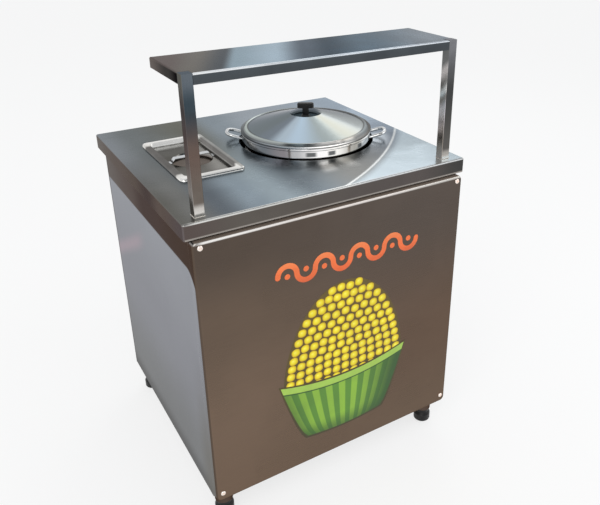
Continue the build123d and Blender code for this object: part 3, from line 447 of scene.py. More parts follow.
def makeFrontSteel(s, side):
    material, tree, shader, place, x, y, z = newSteel("frontSteel")
    back, below = minus(tree, y, panelFace), minus(tree, panelTop, z)
    rise = linear(tree, z, *s["rise"])
    left, right = colourRamp(tree, rise, s["left"]), colourRamp(tree, rise, s["right"])
    colour = fade(tree, x, s["across"], left, right)
    # painted shade round the bent edge, then the side tone on the returns
    colour = fade(tree, back, s["bendFrom"], colour, s["bend"])
    colour = fade(tree, back, s["sideFrom"], colour, sideTone(tree, x, y, z, side))
    # painted highlight along the folded top edge
    fold = colourRamp(tree, linear(tree, x, *s["foldSpan"]), s["fold"])
    colour = fade(tree, below, s["foldDrop"], colour, fold)
    # painted shade under the rim: this share is drawn as non-metal
    lip = mapRange(tree, below, *s["lipDrop"])
    finishSteel(tree, shader, place, mixColour(tree, lip, colour, s["lip"]), s)
    tree.links.new(minus(tree, 1.0, lip), shader.inputs["Metallic"])
    return material


def makeSideSteel(s):
    material, tree, shader, place, x, y, z = newSteel("sideSteel")
    finishSteel(tree, shader, place, sideTone(tree, x, y, z, s), s)
    return material


# worktop: cool broad bands of painted reflection, a pale painted reflection beyond a thin bright arc of
# it, painted gleams and a halo of the pot's reflection near the pot, a rim in painted reflection with a
# painted highlight along the front rim's lower edge, and a painted highlight along the folded front edge
topSteelSet = {
    "stretch": (12, 600, 12), "grainTint": 0.04, "markSize": 6.0, "markTint": 0.06,
    "rough": (0.18, 0.30), "bump": 0.04,
    # broad bands of painted reflection, near the front and further back
    "near": [(0.0, tone(118, 117, 113)), (0.06, tone(130, 130, 128)), (0.14, tone(116, 122, 128)),
             (0.24, tone(152, 163, 171)), (0.32, tone(162, 173, 179)), (0.43, tone(124, 131, 136)),
             (0.62, tone(135, 135, 133)), (1.0, tone(122, 128, 136))],
    "deep": [(0.0, tone(146, 150, 154)), (0.1, tone(131, 135, 136)), (0.3, tone(128, 128, 122)),
             (0.42, tone(150, 158, 164)), (0.6, tone(168, 174, 180)), (1.0, tone(166, 176, 186))],
    "deepFrom": (-0.24, 0.22),
    # a pale painted reflection beyond an arc, edged by a thin bright painted reflection
    "pale": tone(180, 189, 194), "paleDeep": tone(184, 195, 204), "paleFrom": (-0.22, 0.06),
    "arc": (-0.477, 0.6295), "arcRadius": 1.105, "arcSoft": (-0.01, 0.03),
    "line": tone(232, 233, 231), "lineHalf": 0.006, "lineFade": (0.05, -0.08), "lineShare": 0.6,
    # painted reflections of the pot on the top: gleams in front of it and a halo close round it
    "gleam": tone(250, 248, 243), "gleamWays": ((-106.0, 0.85), (-91.0, 0.35)),
    "gleamWide": (0.11, 0.02), "gleamReach": (-0.29, -0.21), "gleamRoot": (-0.19, -0.212, 0.3, 1.0),
    "halo": tone(230, 236, 241), "haloReach": (0.262, 0.215),
    "haloWays": ((-141.0, 0.36, 0.15, 0.85), (-35.0, 0.35, 0.12, 0.55)),
    # rims in painted reflection, with a painted highlight along the front rim's lower edge
    "leftRim": [(0.0, tone(104, 96, 96)), (0.2, tone(111, 101, 96)), (0.34, tone(92, 82, 80)),
                (0.5, tone(106, 96, 90)), (0.7, tone(112, 103, 98)), (1.0, tone(118, 112, 108))],
    "leftSpan": (-0.36, 0.374),
    "frontRim": [(0.0, tone(92, 82, 79)), (0.2, tone(96, 91, 86)), (0.8, tone(92, 86, 84)),
                 (1.0, tone(70, 70, 69))],
    "rimTurn": (0.0012, 0.0004), "rimDrop": (0.0038, 0.0001),
    "hem": tone(161, 155, 149), "hemDrop": (0.0345, 0.0375),
    # painted highlight along the folded front edge
    "fold": [(0.0, tone(140, 138, 135)), (0.04, tone(224, 223, 219)), (0.5, tone(220, 220, 218)),
             (0.64, tone(190, 192, 193)), (1.0, tone(164, 166, 167))],
    "foldBack": (0.0085, 0.0035), "foldDrop": (0.0048, 0.0030),
}


# rim below, flat top above and a painted highlight along the folded front edge between them
def finishTray(tree, shader, place, across, back, below, rim, flat, s):
    colour = fade(tree, below, s["rimDrop"], rim, flat)
    # where the painted highlight lies, along the folded front edge
    fold = times(tree, mapRange(tree, back, *s["foldBack"]), mapRange(tree, below, *s["foldDrop"]))
    finishSteel(tree, shader, place, mixColour(tree, fold, colour, colourRamp(tree, across, s["fold"])), s)


def makeTopSteel(s):
    material, tree, shader, place, x, y, z = newSteel("topSteel")
    below, back = minus(tree, topLevel, z), minus(tree, y, topEdge)
    across = linear(tree, x, topLow[0], topHigh[0])
    # broad bands of painted reflection
    near, deep = colourRamp(tree, across, s["near"]), colourRamp(tree, across, s["deep"])
    flat = fade(tree, y, s["deepFrom"], near, deep)
    # a pale painted reflection beyond a thin bright arc of painted reflection
    far, radius, half = farFrom(tree, place, (*s["arc"], topLevel)), s["arcRadius"], s["lineHalf"]
    beyond = mapRange(tree, far, *(radius + soft for soft in s["arcSoft"]))
    line = bandMask(tree, far, (radius - half, radius), (radius + half, radius), s["lineShare"])
    line = times(tree, line, mapRange(tree, y, *s["lineFade"]))
    pale = fade(tree, y, s["paleFrom"], s["pale"], s["paleDeep"])
    flat = mixColour(tree, line, mixColour(tree, beyond, flat, pale), s["line"])
    # painted reflections of the pot: gleams in front of it and a halo close round it
    outX, outY = minus(tree, x, potAxis[0]), minus(tree, y, potAxis[1])
    way = mathNode(tree, "ARCTAN2", outY, outX)
    ahead = times(tree, mapRange(tree, outY, *s["gleamReach"]), mapRange(tree, outY, *s["gleamRoot"]))
    for angle, share in s["gleamWays"]:
        aside = asideOf(tree, way, math.radians(angle))
        gleam = times(tree, mapRange(tree, aside, *s["gleamWide"], 0.0, share), ahead)
        flat = mixColour(tree, gleam, flat, s["gleam"])
    close = mapRange(tree, farFrom(tree, place, (*potAxis, topLevel)), *s["haloReach"])
    for angle, wide, narrow, share in s["haloWays"]:
        aside = asideOf(tree, way, math.radians(angle))
        halo = times(tree, close, mapRange(tree, aside, wide, narrow, 0.0, share))
        flat = mixColour(tree, halo, flat, s["halo"])
    # rims in painted reflection, with a painted highlight along the front rim's lower edge
    left = colourRamp(tree, linear(tree, y, *s["leftSpan"]), s["leftRim"])
    front = colourRamp(tree, across, s["frontRim"])
    front = fade(tree, below, s["hemDrop"], front, s["hem"])
    rim = fade(tree, back, s["rimTurn"], left, front)
    finishTray(tree, shader, place, across, back, below, rim, flat, s)
    return material


# overshelf: brown, pale blue and dark blue bands of painted reflection across its top, rims in painted
# reflection, and a painted highlight along the folded front edge
shelfSteelSet = {
    "stretch": (12, 600, 12), "grainTint": 0.04, "markSize": 7.0, "markTint": 0.08,
    "rough": (0.18, 0.28), "bump": 0.04, "slant": 0.5,
    # slanting bands of painted reflection across the top
    "stops": [(0.0, tone(120, 112, 110)), (0.09, tone(128, 125, 121)), (0.185, tone(102, 106, 110)),
              (0.225, tone(154, 169, 178)), (0.36, tone(170, 184, 194)), (0.47, tone(104, 113, 123)),
              (0.56, tone(82, 92, 101)), (0.7, tone(103, 117, 128)), (1.0, tone(136, 142, 148))],
    # rims in painted reflection
    "rim": [(0.0, tone(76, 81, 85)), (1.0, tone(78, 84, 89))],
    "leftRim": [(0.0, tone(50, 50, 52)), (0.45, tone(88, 86, 85)), (1.0, tone(124, 117, 114))],
    "leftTurn": (0.0015, 0.0005), "rimDrop": (0.0034, 0.0001),
    # painted highlight along the folded front edge
    "fold": [(0.0, tone(250, 252, 254)), (0.5, tone(214, 221, 228)), (1.0, tone(174, 179, 185))],
    "foldBack": (0.0070, 0.0030), "foldDrop": (0.0045, 0.0028),
}


def makeShelfSteel(s):
    material, tree, shader, place, x, y, z = newSteel("shelfSteel")
    below, back = minus(tree, shelfLevel, z), minus(tree, y, shelfLow[1])
    lean = times(tree, minus(tree, y, (shelfLow[1] + shelfHigh[1]) / 2), s["slant"])
    across = linear(tree, x, shelfLow[0], shelfHigh[0])
    # slanting bands of painted reflection
    flat = colourRamp(tree, linear(tree, minus(tree, x, lean), shelfLow[0], shelfHigh[0]), s["stops"])
    rim = colourRamp(tree, linear(tree, z, shelfLow[2], shelfLevel), s["rim"])
    left = colourRamp(tree, linear(tree, y, shelfLow[1], shelfHigh[1]), s["leftRim"])
    rim = fade(tree, minus(tree, x, shelfLow[0]), s["leftTurn"], rim, left)
    finishTray(tree, shader, place, across, back, below, rim, flat, s)
    return material


# posts: bands of painted reflection along their length, pale at the foot, other ones on the face turned to
# the left, with painted glints on the right post
postSteelSet = {
    "stretch": (500, 500, 10), "grainTint": 0.05, "markSize": 14.0, "markTint": 0.10,
    "rough": (0.18, 0.3), "bump": 0.04, "sideTurn": (0.0012, 0.0004),
    # bands of painted reflection along the post, pale at the foot
    "left_shelf_post": {
        "face": [(0.0, tone(252, 250, 246)), (0.055, tone(210, 206, 201)), (0.11, tone(112, 104, 97)),
                 (0.45, tone(104, 89, 82)), (0.8, tone(60, 72, 80)), (1.0, tone(104, 112, 120))],
        "side": [(0.0, tone(164, 160, 156)), (0.5, tone(104, 96, 94)), (0.75, tone(92, 88, 88)),
                 (1.0, tone(116, 116, 112))],
        "slant": 0.0,
    },
    "right_shelf_post": {
        "face": [(0.0, tone(244, 236, 228)), (0.05, tone(170, 166, 160)), (0.1, tone(96, 94, 91)),
                 (0.6, tone(73, 74, 74)), (1.0, tone(128, 129, 133))],
        # painted glints between darker bands of painted reflection
        "side": [(0.0, tone(200, 188, 180)), (0.12, tone(186, 174, 163)), (0.42, tone(246, 240, 248)),
                 (0.52, tone(162, 155, 150)), (0.58, tone(254, 254, 252)), (0.65, tone(146, 144, 142)),
                 (0.75, tone(196, 191, 190)), (0.83, tone(112, 113, 113)), (1.0, tone(98, 100, 100))],
        "slant": 0.8,
    },
}


def makePostSteel(node, s):
    material, tree, shader, place, x, y, z = newSteel(node.split("_")[0] + "PostSteel")
    low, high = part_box(node)
    back = minus(tree, y, (low[1] + high[1]) / 2)
    slant = mathNode(tree, "ADD", z, times(tree, back, s[node]["slant"]))
    # bands of painted reflection on the front and on the face turned to the left
    face = colourRamp(tree, linear(tree, z, low[2], high[2]), s[node]["face"])
    side = colourRamp(tree, linear(tree, slant, low[2], high[2]), s[node]["side"])
    onSide = mapRange(tree, minus(tree, x, low[0]), *s["sideTurn"])
    finishSteel(tree, shader, place, mixColour(tree, onSide, face, side), s)
    return material


# plain steels that only change with height: frame and inside, foot sleeves, back
innerSteelSet = {
    "stretch": (16, 16, 300), "grainTint": 0.05, "markSize": 8.0, "markTint": 0.1,
    "rough": (0.32, 0.45), "bump": 0.05, "rise": (0.0, 0.9),
    "stops": [(0.0, tone(150, 151, 152)), (1.0, tone(176, 177, 178))],
}
# foot sleeves: a brown painted reflection, lighter towards the top
sleeveSteelSet = {
    "stretch": (14, 14, 300), "grainTint": 0.05, "markSize": 20.0, "markTint": 0.1,
    "rough": (0.3, 0.42), "bump": 0.05, "rise": (0.0, 0.9),
    "stops": [(0.0, tone(92, 78, 70)), (1.0, tone(118, 102, 92))],
}
backSteelSet = {
    "stretch": (500, 14, 14), "grainTint": 0.035, "markSize": 5.0, "markTint": 0.06,
    "rough": (0.28, 0.38), "bump": 0.05, "rise": (0.0, 0.9),
    "stops": [(0.0, tone(128, 126, 125)), (1.0, tone(158, 160, 163))],
}


def makePlainSteel(name, s):
    material, tree, shader = newMaterial(name)
    place = placeOf(tree)
    height = linear(tree, axisOf(tree, place, "Z"), *s["rise"])
    finishSteel(tree, shader, place, colourRamp(tree, height, s["stops"]), s)
    return material


# polished spun steel of the pot and its lid: wedges of painted highlight and reflection fan out from the
# axis
lidSteelSet = {
    "rings": 900, "ringTint": 0.03, "rough": (0.14, 0.22), "spun": 0.5,
    # wedges of painted highlight and reflection round the axis on the cone, brim and flange
    "cone": [(0.0, tone(133, 140, 143)), (0.055, tone(138, 146, 154)), (0.1, tone(197, 211, 222)),
             (0.14, tone(206, 225, 241)), (0.23, tone(182, 191, 190)), (0.3, tone(170, 170, 161)),
             (0.39, tone(174, 178, 178)), (0.58, tone(108, 114, 121)), (0.8, tone(142, 147, 154)),
             (1.0, tone(133, 140, 143))],
    "brim": [(0.0, tone(182, 189, 186)), (0.15, tone(196, 202, 200)), (0.22, tone(252, 248, 243)),
             (0.28, tone(182, 178, 170)), (0.36, tone(164, 170, 172)), (0.55, tone(124, 123, 121)),
             (1.0, tone(182, 189, 186))],
    "flange": [(0.0, tone(104, 107, 108)), (0.1, tone(172, 177, 182)), (0.22, tone(226, 223, 220)),
               (0.31, tone(116, 115, 113)), (0.85, tone(149, 152, 154)), (1.0, tone(104, 107, 108))],
    "brimFrom": (0.1690, 0.1720), "flangeFrom": (0.1800, 0.1830),
    # rings of painted shade in the groove and on the slope
    "groove": tone(112, 113, 112), "grooveRise": (0.1660, 0.1690), "grooveFall": (0.1725, 0.1695),
    "grooveShare": 0.75,
    "slope": tone(118, 120, 121), "slopeRise": (0.1765, 0.1795), "slopeFall": (0.1840, 0.1815),
    "slopeShare": 0.6,
    "dish": tone(84, 92, 96), "dishFrom": (0.0440, 0.0400),
}
potSteelSet = {
    "lean": 0.25, "leanRise": 0.005, "rings": 600, "ringTint": 0.02, "rough": (0.08, 0.14), "spun": 0.3,
    # tones round the pot wall: painted highlights and reflections
    "stops": [(0.0, tone(146, 147, 148)), (0.06, tone(106, 112, 118)), (0.117, tone(132, 128, 132)),
              (0.14, tone(177, 178, 180)), (0.206, tone(255, 253, 253)), (0.235, tone(252, 250, 246)),
              (0.3, tone(168, 166, 160)), (0.345, tone(242, 244, 244)), (0.43, tone(186, 196, 206)),
              (1.0, tone(146, 147, 148))],
    # three dark painted reflections on the wall, just above the worktop
    "windows": ((0.180, 0.017), (0.230, 0.013), (0.318, 0.012)),
    "window": tone(104, 106, 107), "windowSoft": 0.4,
    "windowRise": (0.004, 0.008), "windowFall": (0.0195, 0.0165),
}
spunSet = {"detail": 3.0, "spread": (0.25, 0.75), "bump": 0.06}


# place round the pot's axis: share of a turn, reach from the axis, height over the worktop
def aroundPot(tree):
    shift = addNode(tree, "ShaderNodeMapping")
    shift.inputs["Location"].default_value = (-potAxis[0], -potAxis[1], -topLevel)
    tree.links.new(placeOf(tree), shift.inputs["Vector"])
    x, y, z = (axisOf(tree, shift.outputs[0], a) for a in "XYZ")
    around = linear(tree, mathNode(tree, "ARCTAN2", y, x), -math.pi, math.pi)
    flat = addNode(tree, "ShaderNodeVectorMath", operation="MULTIPLY")
    flat.inputs[1].default_value = (1, 1, 0)
    tree.links.new(shift.outputs[0], flat.inputs[0])
    reach = addNode(tree, "ShaderNodeVectorMath", operation="LENGTH")
    tree.links.new(flat.outputs[0], reach.inputs[0])
    return around, reach.outputs["Value"], z


def finishSpun(tree, shader, far, colour, s, normal=None):
    ring = addNode(tree, "ShaderNodeTexNoise", noise_dimensions="1D")
    ring.inputs["Scale"].default_value = s["rings"]
    ring.inputs["Detail"].default_value = spunSet["detail"]
    tree.links.new(far, ring.inputs["W"])
    tint = linear(tree, ring.outputs[0], *spunSet["spread"], 1 - s["ringTint"], 1 + s["ringTint"])
    tree.links.new(scaled(tree, colour, tint), shader.inputs["Base Color"])
    rough = linear(tree, ring.outputs[0], *spunSet["spread"], *s["rough"])
    tree.links.new(rough, shader.inputs["Roughness"])
    addBump(tree, shader, ring.outputs[0], spunSet["bump"], steelSet["grainDepth"], normal)
    shader.inputs["Metallic"].default_value = 1.0
    tintEdge(tree, shader, colour)
    shader.inputs["Anisotropic"].default_value = s["spun"]
    tangent = addNode(tree, "ShaderNodeTangent", direction_type="RADIAL", axis="Z")
    tree.links.new(tangent.outputs[0], shader.inputs["Tangent"])


def makeLidSteel(s):
    material, tree, shader = newMaterial("lidSteel")
    around, far = aroundPot(tree)[:2]
    # wedges of painted highlight and reflection round the axis
    cone, brim, flange = (colourRamp(tree, around, s[key]) for key in ("cone", "brim", "flange"))
    # rings of painted shade in the groove and on the slope
    groove = bandMask(tree, far, s["grooveRise"], s["grooveFall"], s["grooveShare"])
    slope = bandMask(tree, far, s["slopeRise"], s["slopeFall"], s["slopeShare"])
    colour = fade(tree, far, s["brimFrom"], cone, brim)
    colour = mixColour(tree, groove, colour, s["groove"])
    colour = fade(tree, far, s["flangeFrom"], colour, flange)
    colour = mixColour(tree, slope, colour, s["slope"])
    colour = fade(tree, far, s["dishFrom"], colour, s["dish"])
    finishSpun(tree, shader, far, colour, s)
    return material


def makePotSteel(s):
    material, tree, shader = newMaterial("potSteel")
    around, far, above = aroundPot(tree)
    # painted highlights and reflections round the wall
    colour = colourRamp(tree, around, s["stops"])
    tall = bandMask(tree, above, s["windowRise"], s["windowFall"])
    # three dark painted reflections just above the worktop
    for middle, half in s["windows"]:
        aside = asideOf(tree, around, middle)
        window = times(tree, mapRange(tree, aside, half, s["windowSoft"] * half), tall)
        colour = mixColour(tree, window, colour, s["window"])
    normal = leanUp(tree, mapRange(tree, above, 0.0, s["leanRise"], 0.0, s["lean"]))
    finishSpun(tree, shader, far, colour, s, normal)
    return material


# pan lid: a warm grey panel and dish in a bead, with painted highlights on the bead's short ends and right
# side and painted light on the panel's right part and back end
panLidSet = {
    "lean": 0.7, "stretch": (300, 20, 300), "grainTint": 0.03, "markSize": 12.0, "markTint": 0.10,
    "rough": (0.12, 0.22), "bump": 0.02, "dish": tone(124, 117, 112), "dishDrop": (0.0140, 0.0075),
    # panel tone along its length, with a painted highlight at the back end
    "panel": [(0.0, tone(132, 131, 128)), (0.45, tone(114, 112, 108)), (0.82, tone(120, 119, 116)),
              (0.90, tone(250, 249, 246))],
    # painted highlights on the bead's short ends
    "bead": [(0.0, tone(240, 238, 234)), (0.09, tone(226, 224, 220)), (0.14, tone(124, 122, 120)),
             (0.86, tone(128, 126, 124)), (0.91, tone(226, 224, 220)), (1.0, tone(240, 238, 234))],
    # painted highlight on the bead's right side and painted light over the panel's right part
    "beadDrop": (0.0055, 0.0010), "far": tone(172, 172, 170), "farIn": (0.016, 0.008), "farShare": 0.8,
    "right": tone(174, 172, 168), "rightFrom": (0.5, 0.78), "rightShare": 0.62,
}


def makePanLidSteel(s):
    material, tree, shader, place, x, y, z = newSteel("panLidSteel")
    low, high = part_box("pan_lid")
    below, inward = minus(tree, topLevel, z), minus(tree, high[0], x)
    along, across = linear(tree, y, low[1], high[1]), linear(tree, x, low[0], high[0])
    bead, panel = colourRamp(tree, along, s["bead"]), colourRamp(tree, along, s["panel"])
    # painted highlight on the bead's right side and painted light on the panel's right part
    bead = fade(tree, inward, s["farIn"], bead, s["far"], s["farShare"])
    panel = fade(tree, across, s["rightFrom"], panel, s["right"], s["rightShare"])
    colour = fade(tree, below, s["dishDrop"], s["dish"], panel)
    colour = fade(tree, below, s["beadDrop"], colour, bead)
    finishSteel(tree, shader, place, colour, s)
    return material


# plain metals: polished steel, screw heads, brass
polishSet = {
    "edge": (0.9, 0.9, 0.9, 1), "stretch": (60, 60, 60), "grainTint": 0.03, "markSize": 10.0,
    "markTint": 0.08, "rough": (0.08, 0.16), "bump": 0.0,
    "colour": tone(222, 223, 222), "shade": tone(198, 200, 202),
}
screwSet = {
    "edge": (0.95, 0.92, 0.89, 1), "stretch": (200, 200, 200), "grainTint": 0.03, "markSize": 60.0,
    "markTint": 0.08, "rough": (0.2, 0.3), "bump": 0.0,
    "colour": tone(255, 247, 240), "shade": tone(246, 231, 221),
}
brassSet = {
    "edge": (0.9, 0.9, 0.9, 1), "stretch": (300, 40, 300), "grainTint": 0.06, "markSize": 40.0,
    "markTint": 0.12, "rough": (0.2, 0.34), "bump": 0.03,
    "colour": tone(196, 160, 92), "shade": tone(172, 134, 70),
}


def makePolish(name, s):
    material, tree, shader = newMaterial(name)
    place = placeOf(tree)
    mark = useGroup(tree, wipeMarks, place, Size=s["markSize"])
    finishSteel(tree, shader, place, mixColour(tree, mark, s["colour"], s["shade"]), s)
    return material


# black plastic and cast iron: a worn tone over a fine speckle
plasticSet = {
    "colour": tone(16, 16, 17), "worn": tone(32, 31, 30), "rough": (0.34, 0.5), "markSize": 30.0,
    "speck": 900, "bump": 0.12, "depth": 0.0004, "gloss": 0.3, "metal": 0.0,
}
ironSet = {
    "colour": tone(52, 50, 49), "worn": tone(86, 80, 76), "rough": (0.55, 0.8), "markSize": 30.0,
    "speck": 260, "bump": 0.12, "depth": 0.0004, "gloss": 0.5, "metal": 0.6,
}


def makePlastic(name, s):
    material, tree, shader = newMaterial(name)
    place = placeOf(tree)
    mark = useGroup(tree, wipeMarks, place, Size=s["markSize"])
    tree.links.new(mixColour(tree, mark, s["colour"], s["worn"]), shader.inputs["Base Color"])
    tree.links.new(linear(tree, mark, 0, 1, *s["rough"]), shader.inputs["Roughness"])
    speck = addNode(tree, "ShaderNodeTexNoise")
    speck.inputs["Scale"].default_value = s["speck"]
    tree.links.new(place, speck.inputs["Vector"])
    addBump(tree, shader, speck.outputs[0], s["bump"], s["depth"])
    shader.inputs["Specular IOR Level"].default_value = s["gloss"]
    shader.inputs["Metallic"].default_value = s["metal"]
    return material


frontSteel = makeFrontSteel(frontSteelSet, sideSteelSet)
sideSteel = makeSideSteel(sideSteelSet)
topSteel = makeTopSteel(topSteelSet)
shelfSteel = makeShelfSteel(shelfSteelSet)
leftPostSteel = makePostSteel("left_shelf_post", postSteelSet)
rightPostSteel = makePostSteel("right_shelf_post", postSteelSet)
innerSteel = makePlainSteel("innerSteel", innerSteelSet)
backSteel = makePlainSteel("backSteel", backSteelSet)
sleeveSteel = makePlainSteel("sleeveSteel", sleeveSteelSet)
lidSteel = makeLidSteel(lidSteelSet)
potSteel = makePotSteel(potSteelSet)
panLidSteel = makePanLidSteel(panLidSet)
polishedSteel = makePolish("polishedSteel", polishSet)
screwSteel = makePolish("screwSteel", screwSet)
blackPlastic = makePlastic("blackPlastic", plasticSet)
castIron = makePlastic("castIron", ironSet)
yellowBrass = makePolish("yellowBrass", brassSet)

slotLooks = {
    "brushed_sheet": innerSteel, "frame_tube": innerSteel, "polished_steel": polishedSteel,
    "bright_steel": polishedSteel, "black_plastic": blackPlastic, "cast_iron": castIron,
    "brass": yellowBrass,
}
nodeLooks = {
    "front_panel": frontSteel, "left_side_panel": sideSteel, "right_side_panel": sideSteel,
    "worktop": topSteel, "overshelf": shelfSteel, "left_shelf_post": leftPostSteel,
    "right_shelf_post": rightPostSteel, "back_fascia": backSteel, "door": backSteel,
    "pot_lid": lidSteel, "pot": potSteel, "pan_lid": panLidSteel, "front_panel_screws": screwSteel,
}
nodeLooks.update({name: sleeveSteel for name in nodes if name.endswith("_leg_sleeve")})
for part in frame["record"]["subparts"]:
    name = part["node"]
    looks = nodes[name].data.materials
    looks.clear()
    looks.append(nodeLooks.get(name, slotLooks[part["material_slot"]]))
print("materials on", len(nodes), "nodes")


def newPiece(name, mesh, material, body):
    data = bpy.data.meshes.new(name)
    mesh.to_mesh(data)
    mesh.free()
    data.materials.append(material)
    piece = bpy.data.objects.new(name, data)
    scene.collection.objects.link(piece)
    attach(piece, body)


def faceOut(mesh, way):
    mesh.normal_update()
    bmesh.ops.reverse_faces(mesh, faces=[f for f in mesh.faces if f.normal.y * way < 0])


# flat upright disc, or an oval where its half height is given
def addDisc(mesh, place, radius, sides, tall=None):
    turn, scale = Matrix.Rotation(math.pi / 2, 3, "X"), Vector((1, (tall or radius) / radius, 1))
    shape = Matrix.LocRotScale(Vector(place), turn, scale)
    bmesh.ops.create_circle(mesh, cap_ends=True, segments=sides, radius=radius, matrix=shape)


# drops what lies behind a plane and shades the rest smooth
def cutBack(mesh, point, normal):
    every = mesh.verts[:] + mesh.edges[:] + mesh.faces[:]
    bmesh.ops.bisect_plane(mesh, geom=every, plane_co=point, plane_no=normal, clear_inner=True)
    for face in mesh.faces:
        face.smooth = True


# print film, softly worn
inkSet = {"markSize": 18.0, "wear": 0.10, "rough": (0.30, 0.44)}


def finishInk(tree, shader, colour, s):
    mark = useGroup(tree, wipeMarks, placeOf(tree), Size=s["markSize"])
    tint = linear(tree, mark, 0, 1, 1 - s["wear"], 1.0)
    tree.links.new(scaled(tree, colour, tint), shader.inputs["Base Color"])
    tree.links.new(linear(tree, mark, 0, 1, *s["rough"]), shader.inputs["Roughness"])


# ink by height over a span, or by the piece's own shade value where no span is given
def makeInk(name, stops, span=None):
    material, tree, shader = newMaterial(name)
    if span:
        share = linear(tree, axisOf(tree, placeOf(tree), "Z"), *span)
    else:
        share = addNode(tree, "ShaderNodeAttribute", attribute_name="shade").outputs["Fac"]
    finishInk(tree, shader, colourRamp(tree, share, stops), inkSet)
    return material


# dark backing that shows as an outline round heap and bowl
backingSet = {"stops": [(0.0, tone(58, 50, 12)), (1.0, tone(96, 78, 16))], "span": (0.16, 0.66)}
darkInk = makeInk("darkInk", backingSet["stops"], backingSet["span"])

# printed heap of kernels: short rows of rounded dots in a dome
heapSet = {
    "centre": (0.012, 0.345), "half": 0.186, "rise": 0.303, "row": 0.0252, "pitch": 0.0280,
    "dot": 0.0134, "squash": (0.97, 0.92), "sides": 14, "square": 0.35, "lift": (-0.0022, 0.0026, 0),
    "wobble": 0.0016, "wobblePhase": (7.3, 3.1), "lean": 0.25, "leanPhase": 5.1,
    "edge": 0.006, "backSides": 64, "film": 0.0003, "backing": 0.0001,
    "ink": [(0.0, tone(172, 128, 4)), (0.2, tone(224, 196, 12)), (0.5, tone(244, 225, 24)),
            (1.0, tone(252, 242, 98))],
}


def makeKernels(s):
    mesh = bmesh.new()
    shade = mesh.verts.layers.float.new("shade")
    cx, cz = s["centre"]
    wide, tall = s["squash"]
    byRow, byDot = s["wobblePhase"]
    count = 0
    for row in range(int(s["rise"] / s["row"])):
        z = (row + 0.5) * s["row"]
        half = s["half"] * math.sqrt(1 - (z / s["rise"]) ** 2) - s["dot"]
        number = max(2, round(2 * half / s["pitch"]) + 1)
        for i in range(number):
            x = half * (2 * i / (number - 1) - 1)
            wobble = s["wobble"] * math.sin(byRow * row + byDot * i)
            lean = Matrix.Rotation(s["lean"] * math.sin(s["leanPhase"] * i + row), 4, "Y")
            place = Matrix.Translation((cx + x, panelFace - s["film"], cz + z + wobble)) @ lean
            dot = bmesh.ops.create_circle(mesh, cap_ends=True, cap_tris=True, segments=s["sides"],
                                          radius=s["dot"])
            for v in dot["verts"]:
                far = v.co.length / s["dot"]
                v[shade] = 1 - far
                if far > 0.5:  # the rim is squared, the middle moves towards the light
                    corner = max(abs(v.co.x), abs(v.co.y)) / s["dot"]
                    v.co *= 1 + s["square"] * (1 - corner)
                else:
                    v.co += Vector(s["lift"])
                v.co = place @ Vector((v.co.x * wide, 0, v.co.y * tall))
            count += 1
    faceOut(mesh, -1)
    newPiece("print_kernels", mesh, makeInk("kernelInk", s["ink"]), "cabinet")
    return count


def makeHeapBack(s):
    mesh = bmesh.new()
    place = (s["centre"][0], panelFace - s["backing"], s["centre"][1])
    addDisc(mesh, place, s["half"] + s["edge"], s["backSides"], s["rise"] + s["edge"])
    cutBack(mesh, place, (0, 0, 1))
    faceOut(mesh, -1)
    newPiece("print_heap_back", mesh, darkInk, "cabinet")


# printed bowl: a tapered striped shape with a curved rim and foot
bowlSet = {
    "centre": 0.012, "low": 0.190, "high": 0.385, "topHalf": 0.200, "lowHalf": 0.122, "taper": 0.75,
    "sag": 0.030, "sagShare": (0.35, 0.65), "edge": 0.006, "film": 0.0005, "backing": 0.0004,
    "across": 48, "tall": 12, "stripes": 9, "stripeSoft": (-0.25, 0.25),
    "light": tone(138, 184, 54), "mid": tone(86, 138, 40), "deep": tone(40, 84, 24),
    "brightest": 0.42, "sideShade": (0.18, 0.58), "footShade": (0.28, 0.0), "footShare": 0.7,
    "rim": tone(164, 202, 82), "rimFrom": (0.875, 0.89),
    "lineRise": (0.855, 0.868), "lineFall": (0.89, 0.877),
    "markSize": 14.0, "wear": 0.12, "rough": (0.30, 0.44),
}


def makeBowlInk(s):
    material, tree, shader = newMaterial("bowlInk")
    uv = addNode(tree, "ShaderNodeTexCoord").outputs["UV"]
    u, v = axisOf(tree, uv, "X"), axisOf(tree, uv, "Y")
    wave = mathNode(tree, "SINE", times(tree, u, s["stripes"] * 2 * math.pi))
    colour = fade(tree, wave, s["stripeSoft"], s["mid"], s["light"])
    aside = asideOf(tree, u, s["brightest"])
    colour = fade(tree, aside, s["sideShade"], colour, s["deep"])
    colour = fade(tree, v, s["footShade"], colour, s["deep"], s["footShare"])
    colour = fade(tree, v, s["rimFrom"], colour, s["rim"])
    line = bandMask(tree, v, s["lineRise"], s["lineFall"])
    finishInk(tree, shader, mixColour(tree, line, colour, s["deep"]), s)
    return material


def makeBowl(s):
    sagFlat, sagTall = s["sagShare"]
    for name, grow, film, ink in (("print_bowl", 0.0, s["film"], makeBowlInk(s)),
                                  ("print_bowl_back", s["edge"], s["backing"], darkInk)):
        mesh = bmesh.new()
        mesh.loops.layers.uv.new("UVMap")
        grid = bmesh.ops.create_grid(mesh, x_segments=s["across"], y_segments=s["tall"], size=0.5,
                                     calc_uvs=True)
        for vert in grid["verts"]:
            u, v = vert.co.x, vert.co.y + 0.5
            half = s["lowHalf"] + (s["topHalf"] - s["lowHalf"]) * v ** s["taper"] + grow
            sag = s["sag"] * (1 - 4 * u * u) * (sagFlat + sagTall * v)
            z = s["low"] - grow + (s["high"] - s["low"] + 2 * grow) * v - sag
            vert.co = (s["centre"] + 2 * u * half, panelFace - film, z)
        faceOut(mesh, -1)
        newPiece(name, mesh, ink, "cabinet")


